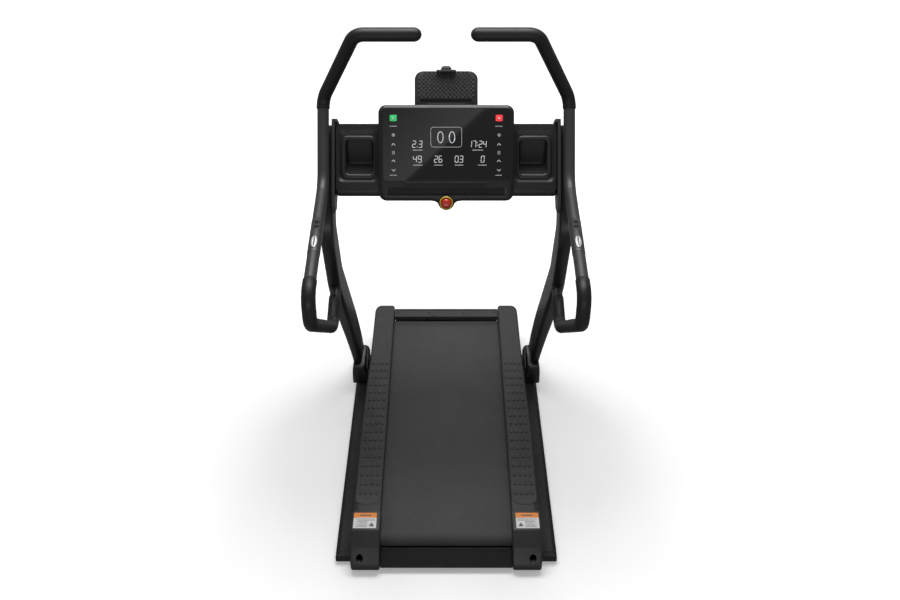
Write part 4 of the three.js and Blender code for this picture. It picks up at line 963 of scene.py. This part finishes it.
# Sprung jaw: a padded bar in front of the plate's top edge, a thumb tab above it, its stem behind.
tab = [(-17, 0), (17, 0), (15.5, 7.5), (11, 12), (5, 13.4), (-5, 13.4), (-11, 12), (-15.5, 7.5)]
tab = softened([(x, CLIP_TOP + 1 + z, 3) for x, z in tab], 3)
clip = Parts().stack([(tab, 6.5), (tab, -8), (shrunk(tab, 1.2), -9.6), (shrunk(tab, 3.4), -10.4)])
jaw = softened([(-30.5, CLIP_TOP - 8, 4), (30.5, CLIP_TOP - 8, 4), (30.5, CLIP_TOP + 1.2, 3.4),
                (-30.5, CLIP_TOP + 1.2, 3.4)], 4)
clip.stack([(shrunk(jaw, 1.4), -4.0), (jaw, -5.4), (jaw, -13.6), (shrunk(jaw, 1.0), -15.2),
            (shrunk(jaw, 2.6), -16)])
clip.prism(rounded(-9.7, 42, 9.7, CLIP_TOP + 6, 2), 3.2, 8.4)
clip.stand_in("tablet_clip", "jaw", console_plastic, "tablet_clip", TABLET, smooth=32, bevel=0.5)

# ------------------------------------------------------------------ deck
COVER_TOP = 94
PLATE = 1.3                              # how far the textured plate stands above a side rail
ROLLER_REAR, ROLLER_FRONT, ROLLER_Z = 17, 1104, 44
BELT_HALF = 220
CAP_INNER, CAP_OUTER, CAP_FRONT = 208, 302, 85
ADJUSTER_X, ADJUSTER_Z = 272, 34
MOTOR_AXIS = (0, 1137, -8)


def belt_loop():
    """The walking belt as one closed band round its two rollers."""
    inner, outer, half, edge = 23.3, 25.0, BELT_HALF, BELT_HALF - 1.2
    rings = []
    for centre, start in ((ROLLER_REAR, 90), (ROLLER_FRONT, 270)):
        for i in range(33):
            angle = math.radians(start + 180 * i / 32)
            rings.append([(x, centre + math.cos(angle) * r, ROLLER_Z + math.sin(angle) * r)
                          for x, r in ((-half, inner), (half, inner), (half, outer - 0.5), (edge, outer),
                                       (-edge, outer), (-half, outer - 0.5))])
    n, count = len(rings[0]), len(rings)
    faces = [(k * n + i, k * n + (i + 1) % n, (k + 1) % count * n + (i + 1) % n, (k + 1) % count * n + i)
             for k in range(count) for i in range(n)]
    Parts().add([v for ring in rings for v in ring], faces).stand_in(
        "walking_belt", "cover", belt, "deck", DECK, smooth=30)


def rail_edge(y):
    """Outer edge of a side rail at y, which narrows towards the front."""
    if y < 480:
        return 300.0
    if y < 950:
        return 300 - 8 * (y - 480) / 470
    return 292 - (y - 950) / 222


def side_rail(side, sign):
    """The moulded rail: rounded along its top edges and closed round in front, hollow underneath."""
    def section(y, sink, narrow):
        bottom = 8 if y < 960 else max(-22, 8 - 0.3 * (y - 960))
        low, high = 210 + narrow, rail_edge(y) - narrow
        top = COVER_TOP - sink
        return softened([(low, bottom, 0), (high, bottom, 0), (high, top - 15, 7), (high - 12, top, 9),
                         (low + 2, top, 4), (low, top - 5, 3)], 4)

    def fall(y, start, radius):
        share = min(1.0, max(0.0, (y - start) / radius))
        return radius * (1 - math.sqrt(1 - share * share))
    stations = [(y, fall(y, 1178, 16.2) * 1.1, fall(y, 1164, 30.2) * 0.62)
                for y in (85.3, 300, 480, 720, 950, 960, 1000, 1060, 1120, 1150, 1164, 1170, 1175, 1178, 1181,
                          1184, 1186.5, 1188.8, 1190.7, 1192.2, 1193.2, 1193.9)]
    layers = [(section(y, sink, narrow), y) for y, sink, narrow in stations]
    moulding = Parts().stack(layers, sign=sign).stand_in(
        f"side_rail_{side}", "moulded", rail, "deck", DECK, smooth=34)
    core = Parts().stack([([(213, bottom), (edge - 3, bottom), (edge - 3, 77), (edge - 13, 90.6),
                            (213.4, 90.6)], y)
                          for y, edge, bottom in ((80, 300, -1), (480, 300, -1), (950, 292, -1),
                                                  (1060, 291, -40), (1150, 291, -40))], sign=sign)
    belt_side = Parts().block(208 * sign, 214 * sign, 80, 1150, -60, 73)
    carve(moulding, (core, DECK), (belt_side, DECK))
    dress(moulding, "deck", rail)


def corner_cutter(x, out, sign, radius=20.0, rear=-74.0):
    """What lies outside the round corner, seen from above, between a cheek at x and the rear nose."""
    arc = []
    for i in range(9):
        angle = math.radians(90 * i / 8)
        arc.append((x - out * radius * (1 - math.sin(angle)), rear + radius * (1 - math.cos(angle))))
    outline = arc + [(x + out * 8, rear + radius), (x + out * 8, rear - 8), (x - out * radius, rear - 8)]
    return Parts().prism([(px * sign, py) for px, py in outline], -60, 130, "xy")


def end_cap(side, sign):
    """The rear corner casting: a profile with rounded cheeks, hollow, with holes for hinge and adjuster."""
    profile = softened([(CAP_FRONT, 8, 0), (CAP_FRONT, COVER_TOP, 0), (12, COVER_TOP, 8), (-34, 63, 7),
                        (-69, 17, 8), (-74, 2, 5), (-68, -8, 5), (36, -8, 12)], 5)
    layers = []
    for x, margin in ((CAP_INNER, 4.4), (209.0, 2.4), (210.8, 0.8), (213.5, 0.0), (296.5, 0.0), (299.2, 0.8),
                      (301.0, 2.4), (CAP_OUTER, 4.4)):
        drawn = shrunk(profile, margin) if margin else profile
        layers.append(([(min(CAP_FRONT, y), z) for y, z in drawn], x))
    casting = Parts().stack(layers, "yz", sign).stand_in(
        f"end_cap_{side}", "cast", cap_plastic, "deck", DECK, smooth=34)
    cavity = [(86, 16), (86, 91), (16, 91), (-20, 52), (-60, 16), (-65, 3), (-58, -9), (40, -9), (86, 4)]
    hollow_core = Parts().prism(cavity, *sorted((223 * sign, 299 * sign)), "yz")
    belt_space = Parts().block(*sorted((206 * sign, 224 * sign)), -9.5, 86, -20, 70.5)
    pin_hole = Parts().lathe([(0, 222), (8.6, 222), (8.6, 304), (0, 304)], axis="x", sides=28)
    pin_hole.verts = turned_out(pin_hole.verts, sign)
    bolt_hole = Parts().lathe([(0, -80), (11, -80), (11, -20), (0, -20)],
                              (ADJUSTER_X * sign, 0, ADJUSTER_Z), sides=32)
    corners = [corner_cutter(CAP_OUTER, 1, sign), corner_cutter(CAP_INNER, -1, sign)]
    carve(casting, *((tool, DECK) for tool in (hollow_core, belt_space, pin_hole, bolt_hole, *corners)),
          overlapping=True)
    dress(casting, "deck", cap_plastic, bevel=0.6)
    Parts().block(208.6 * sign, 298.5 * sign, -57, 36, -7.6, -5.6).made(
        f"end_cap_floor_{side}", cap_plastic, "deck", DECK)


def rail_top(side, sign):
    """The textured plate along a side rail and the tread pads on it, each rising towards the rear."""
    inner, rear, front, outer = 215.5, 113, 1163, 294
    wide, deep = 30, 22                  # half axes of the plate's round rear corners
    outline = [(inner, rear + deep)]
    for middle, start, first in ((inner + wide, 180, 1), (outer - wide, 270, 0)):
        for i in range(first, 13):
            angle = math.radians(start + 90 * i / 12)
            outline.append((middle + wide * math.cos(angle), rear + deep + deep * math.sin(angle)))
    outline += [(rail_edge(y) - 6, y) for y in (300, 480, 720, 950, 1060)]
    outline += [(rail_edge(front) - 7, front - 10), (rail_edge(front) - 18, front), (inner + 8, front),
                (inner, front - 8)]
    low, high = COVER_TOP - 0.6, COVER_TOP + PLATE
    Parts().stack([(outline, low), (outline, high - 0.7), (shrunk(outline, 0.9), high)], "xy", sign).made(
        f"rail_plate_{side}", rail, "deck", DECK, smooth=30)
    pads = Parts()
    half_x, half_y, first_row, pitch = 5.9, 12.6, 166, 41
    for row in range(17):
        y = first_row + row * pitch
        width = rail_edge(y) - 7 - inner
        for k in range(4):
            x = inner + width * (0.5 + (k - 1.5) * 0.232)
            corners = rounded(x - half_x, y - half_y, x + half_x, y + half_y, 5.2, 4)
            pads.loft([[(px * sign, py, high - 0.3 + rise * (0.1 + 0.9 * (y + half_y - py) / (2 * half_y)))
                        for px, py in points]
                       for points, rise in ((corners, 0), (shrunk(corners, 0.3), 2.1),
                                            (shrunk(corners, 1.1), 2.9))])
    pads.made(f"rail_pads_{side}", rail_pad, "deck", DECK, smooth=40)


def end_cap_details(side, sign):
    """A label plate without words on the cap's flat top, and the belt adjuster in its slope."""
    low, high, left, right = COVER_TOP - 0.2, COVER_TOP + 0.35, 221.5, 294.5

    def raised(shape, points, top):
        return shape.stack([(points, low), (points, top)], "xy", sign)

    for name, look, rear, front in (("field", label_white, 15, 57.6), ("band", label_orange, 57.8, 77.6)):
        raised(Parts(), rounded(left, rear, right, front, 2.0, 3), high).made(
            f"label_{name}_{side}", look, "deck", DECK)
    rules, ink_top = Parts(), high + 0.2
    for k, short in enumerate((2, 9, 0, 14, 4, 10, 1)):
        y = 20 + k * 5.2
        raised(rules, rounded(250 if k < 5 else 226, y, 290 - short, y + 1.5, 0.4, 3), ink_top)
    raised(rules, rounded(240, 65, 276, 69.5, 0.8, 3), ink_top)
    raised(rules, [(228, 22), (245, 22), (236.5, 38)], ink_top)
    rules.made(f"label_rules_{side}", label_ink, "deck", DECK)
    # Belt adjuster: a socket-head bolt on a washer, sunk in the sloped face.
    middle = (ADJUSTER_X * sign, 0, ADJUSTER_Z)
    Parts().lathe([(0, -22), (15, -22), (15, -23.6), (14.4, -24), (0, -24)], middle, sides=36).made(
        f"adjuster_washer_{side}", black_bolt, "deck", DECK, smooth=40)
    head = Parts().lathe([(0, -23), (8.2, -23), (8.2, -32.4), (7.4, -33.4), (0, -33.4)], middle, sides=36)
    bolt = head.made(f"adjuster_bolt_{side}", black_bolt, "deck", DECK, smooth=40)
    socket = Parts().lathe([(0, -36), (4.6, -36), (4.6, -28), (0, -28)], middle, sides=6)
    carve(bolt, (socket, DECK))
    dress(bolt, "deck", black_bolt, bevel=0.3)


def screws(name, spots, body, place, radius=3.6, axis="z"):
    """Pan-head screws with a round recess, at (x, y, z) spots on a face square to the axis."""
    heads = Parts()
    for spot in spots:
        heads.lathe([(0, -1.0), (radius, -1.0), (radius, 0.6), (radius * 0.78, 1.5), (radius * 0.34, 1.9),
                     (radius * 0.3, 1.0), (0, 0.9)], spot, axis, 20)
    heads.made(name, black_bolt, body, place, smooth=40)


belt_loop()
for side, sign in SIDES:
    side_rail(side, sign)
    rail_top(side, sign)
    end_cap(side, sign)
    end_cap_details(side, sign)
    refined(f"pivot_pin_{side}", steel, bevel=0.8)
refined("front_cover", rail, bevel=1.2)
refined("rear_cover", frame_paint, bevel=1.0)
Parts().block(-221, 221, 9, 92, -9.9, -8.3).made("rear_cover_tray", panel_plastic, "deck", DECK, bevel=0.6)
Parts().prism([(-9.6, 31), (-11.6, 32.4), (-14.6, 31.4), (-16.6, 28), (-14.4, 25)], -206, 206, "yz").made(
    "rear_cover_lip", frame_paint, "deck", DECK, bevel=0.4)
Parts().lathe([(0, 1.4), (4.4, 1.4), (5.2, 0.7), (6.4, 0.7), (7.2, 0.1), (7.2, -0.8), (0, -0.8)],
              (248, 914, COVER_TOP), "z", 32).made("rail_plug", cap_plastic, "deck", DECK, smooth=40)
refined("deck_frame", frame_paint, bevel=1.2)
refined("deck_board", wood, bevel=1.5)
for name, y in (("rear_roller", ROLLER_REAR), ("front_roller", ROLLER_FRONT)):
    drum = [(0, -249.5), (6.4, -249.5), (7, -248.9), (7, -214), (20.5, -213.9), (22.4, -212), (22.8, -208),
            (23, -120), (23, 120), (22.8, 208), (22.4, 212), (20.5, 213.9), (7, 214)]
    if name == "rear_roller":
        drum += [(7, 248.9), (6.4, 249.5), (0, 249.5)]
    else:
        drum += [(7, 265), (27, 265.1), (29.9, 265.1), (29.9, 266.6), (29.0, 267.4)]
        for k in range(5):
            drum += [(29.0, 268.6 + k * 2.8), (27.8, 269.8 + k * 2.8), (29.0, 271.0 + k * 2.8)]
        drum += [(29.9, 282.6), (29.9, 284), (24, 284), (22, 281), (9, 281), (8, 284), (0, 284)]
    Parts().lathe(drum, (0, y, ROLLER_Z), "x", 48).stand_in(name, "drum", steel, name, DECK, smooth=40)
motor = [(0, -157.5), (8, -157.5), (22, -157), (23, -155.5), (23, -150.2), (31, -149.8), (33, -147.5)]
for k in range(9):
    s = -128 + k * 26
    motor += [(33, s), (31.6, s + 0.8), (31.6, s + 3.2), (33, s + 4)]
motor += [(33, 117.5), (31, 119.8), (27, 120), (27, 130.5), (25.5, 131.8), (0, 131.8)]
Parts().lathe(motor, MOTOR_AXIS, "x", 56).stand_in(
    "drive_motor", "case", motor_paint, "deck", DECK, smooth=40)
pulley = [(0, 132.4), (6, 132.4), (6, 265), (12, 265.1), (12, 267), (11.2, 268)]
for k in range(4):
    pulley += [(11.2, 269.5 + k * 3.2), (10.2, 270.9 + k * 3.2), (11.2, 272.3 + k * 3.2)]
pulley += [(12, 282.6), (12, 284), (5, 284), (4, 281), (0, 281)]
Parts().lathe(pulley, MOTOR_AXIS, "x", 40).stand_in(
    "motor_pulley", "turned", steel, "motor_rotor", DECK, smooth=40)
refined("drive_belt", rubber, bevel=0.5)
refined("motor_controller", motor_paint, bevel=2.0, segments=3)
refined("power_inlet", rubber, bevel=0.6)
pins = Parts()
for x in (-5.2, 0, 5.2):
    pins.block(-180 + x - 0.8, -180 + x + 0.8, 1155, 1166, -30, -26.5)
pins.made("power_inlet_pins", steel, "deck", DECK, bevel=0.25)
fins = Parts()
for k in range(9):
    fins.block(-196 + k * 16, -192 + k * 16, 988, 1056, 12, 19)
fins.made("controller_fins", motor_paint, "deck", DECK, bevel=0.5)
screws("front_cover_screws", [(x, 1144.5, 88) for x in (-196, -70, 70, 196)], "deck", DECK)
screws("cross_panel_screws", [(x, PANEL_DEPTH, z) for x in (-296, 0, 296) for z in (30, 194)], "base", PANEL,
       radius=4.4, axis="y")
screws("console_screws", [(x, CONSOLE_DEPTH, 272) for x in (-180, 180)], "base", CONSOLE, radius=4.4,
       axis="y")
louvres = Parts()
for k in range(9):
    z = 70 + k * 10
    slat = rounded(-120, z, 120, z + 4.6, 2)
    louvres.stack([(slat, PANEL_DEPTH - 0.4), (slat, PANEL_DEPTH + 1.0),
                   (rounded(-119, z + 1, 119, z + 3.6, 1), PANEL_DEPTH + 1.8)])
louvres.made("cross_panel_louvres", panel_plastic, place=PANEL, smooth=30)
cover_lip = Parts()
cover_lip.block(-208, 208, 1113.5, 1119, 87, 90.2)
cover_lip.block(-208, 208, 1158, 1162, 87, 89.4)
cover_lip.made("front_cover_ribs", rail, "deck", DECK, bevel=0.8)
Parts().block(-54, -42, 1117, 1128, 87, 92.5).made("front_cover_catch", rail, "deck", DECK, bevel=1.0)

# ------------------------------------------------------------------ floor frame
refined("base_frame", frame_paint, bevel=1.6, segments=3)
refined("incline_actuator", motor_paint, bevel=1.0)
refined("actuator_rod", steel, bevel=0.6)


def foot_sleeve(side, sign):
    """The shroud round an upright's foot, drawn in towards its top, with a flat gusset inside it."""
    levels = [(rounded(309.4, 280.4, 363.6, 461.6, 9), 40.3), (rounded(309, 280, 364, 462, 9), 41.5),
              (rounded(309.2, 280.4, 363.4, 456, 9), 84), (rounded(310.5, 281, 362, 440, 9), 104),
              (rounded(313, 283.5, 359.5, 424, 9), 118), (rounded(315, 286, 357.5, 416, 9), 122.6),
              (rounded(317, 289, 355.5, 412, 9), 124)]
    plate = softened([(284, 40.3, 0), (422, 40.3, 0), (422, 96, 1), (372, 150, 1), (284, 112, 1)], 2)
    Parts().stack([(shrunk(plate, 0.5), 303.3), (plate, 303.8), (plate, 309)], "yz", sign).made(
        f"foot_gusset_{side}", matte_inlay, smooth=34)
    Parts().stack(levels, "xy", sign).stand_in(f"foot_sleeve_{side}", "shroud", powder, smooth=34)


FOOT_X = 328.5
FOOT_Y = (("rear", -525), ("front", 425))
WHEEL_X, WHEEL_Y, WHEEL_Z = 286.5, 397, 31
for side, sign in SIDES:
    refined(f"rail_end_cap_{side}", rubber, bevel=1.8, segments=3)
    foot_sleeve(side, sign)
    for name, y in FOOT_Y:
        Parts().lathe([(0, 0), (17, 0), (19.4, 0.8), (20, 2.0), (19.4, 3.4), (18.2, 3.8), (18.4, 5.0),
                       (19, 6.2), (18.6, 7.7), (0, 7.7)], (FOOT_X * sign, y, 0), "z", 40).stand_in(
            f"rubber_foot_{name}_{side}", "moulded", rubber, smooth=45)
    tread = [(6.2, -12.4), (11, -12.4), (11.8, -9.5), (21.5, -9.5), (22.5, -12.2), (26, -12.4), (27.6, -11),
             (28, -9.2), (28, -4.4), (27.2, -3.8), (27.2, -2.2), (28, -1.6)]
    tread += [(r, -s) for r, s in tread[::-1]] + tread[:1]
    Parts().lathe(tread, (WHEEL_X * sign, WHEEL_Y, WHEEL_Z), "x", 56).stand_in(
        f"transport_wheel_{side}", "tyre", tyre, f"{side}_wheel", smooth=35)

# ------------------------------------------------------------------ floor, light and camera
FLOOR_HALF = 14.0
floor_mesh = bpy.data.meshes.new("floor")
floor_mesh.from_pydata([(x * FLOOR_HALF, y * FLOOR_HALF, 0) for x, y in ((-1, -1), (1, -1), (1, 1), (-1, 1))],
                       [], [(0, 1, 2, 3)])
floor = bpy.data.objects.new("floor", floor_mesh)
bpy.context.scene.collection.objects.link(floor)
# The paper glows a little, and more away from the machine, so that it stays pale beyond the shadows. This
# glow is painted light: weaker near the machine, it leaves a painted grey shade round it.
paper = Graph("floor_paper")
paper.shader.inputs["Base Color"].default_value = (0.86, 0.86, 0.86, 1)
paper.shader.inputs["Roughness"].default_value = 0.9
paper.shader.inputs["Specular IOR Level"].default_value = 0.1
paper.shader.inputs["Emission Color"].default_value = (1, 1, 1, 1)
away = paper.node("ShaderNodeVectorMath", {0: paper.place}, operation="LENGTH").outputs["Value"]
paper.tree.links.new(paper.spread(away, 0.6, 1.8, 0.24, 0.80), paper.shader.inputs["Emission Strength"])
floor_mesh.materials.append(paper.material)
floor.visible_diffuse = False
floor.visible_glossy = False

world = bpy.data.worlds.new("studio")
world.use_nodes = True
sky = world.node_tree.nodes["Background"].inputs
sky["Color"].default_value = (1.0, 1.0, 1.0, 1)
sky["Strength"].default_value = 0.22
bpy.context.scene.world = world
bpy.context.scene.view_settings.view_transform = "Standard"


def softbox(name, place, aim, size, power):
    """A soft rectangular lamp at place, facing aim."""
    lamp = bpy.data.lights.new(name, "AREA")
    lamp.shape = "RECTANGLE"
    lamp.size, lamp.size_y = size
    lamp.energy = power
    obj = bpy.data.objects.new(name, lamp)
    bpy.context.scene.collection.objects.link(obj)
    obj.location = place
    obj.rotation_euler = (Vector(aim) - Vector(place)).to_track_quat("-Z", "Y").to_euler()
    obj.visible_camera = False
    return obj


softbox("top", (0, 0.5, 3.7), (0, 0.1, 0.3), (2.6, 1.6), 88)
softbox("back", (0.2, 3.8, 2.3), (0, 0.3, 0.5), (3.2, 1.0), 24)
softbox("low_front", (0, -3.6, 0.9), (0, 0, 0.6), (3.0, 1.0), 15)

# A dim panel high on the left whose slanting lower edge shows as a diagonal in the display glass.
GLARE_TILT = 41.9
glare = softbox("glare", (0, 0, 0), (0, 0, -1), (2.4, 1.6), 6.5)
outwards = Matrix.Rotation(math.radians(90 - CONSOLE_LEAN), 4, "X")
spot = Vector((-0.537, -2.374, 3.118))
glare.matrix_world = Matrix.Translation(spot) @ outwards @ Matrix.Rotation(math.radians(GLARE_TILT), 4, "Z")
glare.data.use_nodes = True
lamp_tree = glare.data.node_tree
lamp_uv = lamp_tree.nodes.new("ShaderNodeTexCoord").outputs["UV"]
lamp_axes = lamp_tree.nodes.new("ShaderNodeSeparateXYZ")
lamp_ramp = lamp_tree.nodes.new("ShaderNodeMapRange")
for socket, value in (("From Max", 0.30), ("To Min", 1.15), ("To Max", 0.0)):
    lamp_ramp.inputs[socket].default_value = value
lamp_tree.links.new(lamp_uv, lamp_axes.inputs[0])
lamp_tree.links.new(lamp_axes.outputs["Y"], lamp_ramp.inputs["Value"])
lamp_tree.links.new(lamp_ramp.outputs[0], lamp_tree.nodes["Emission"].inputs["Strength"])

# Behind and above the walker, looking 34 degrees down.
lens = bpy.data.cameras.new("camera")
lens.lens = 39.2
lens.sensor_width = 36
lens.shift_x = 0.0042
camera = bpy.data.objects.new("camera", lens)
camera.location = (0, -2.708, 2.446)
camera.rotation_euler = (math.radians(90 - 34), 0, 0)
bpy.context.scene.collection.objects.link(camera)
bpy.context.scene.camera = camera
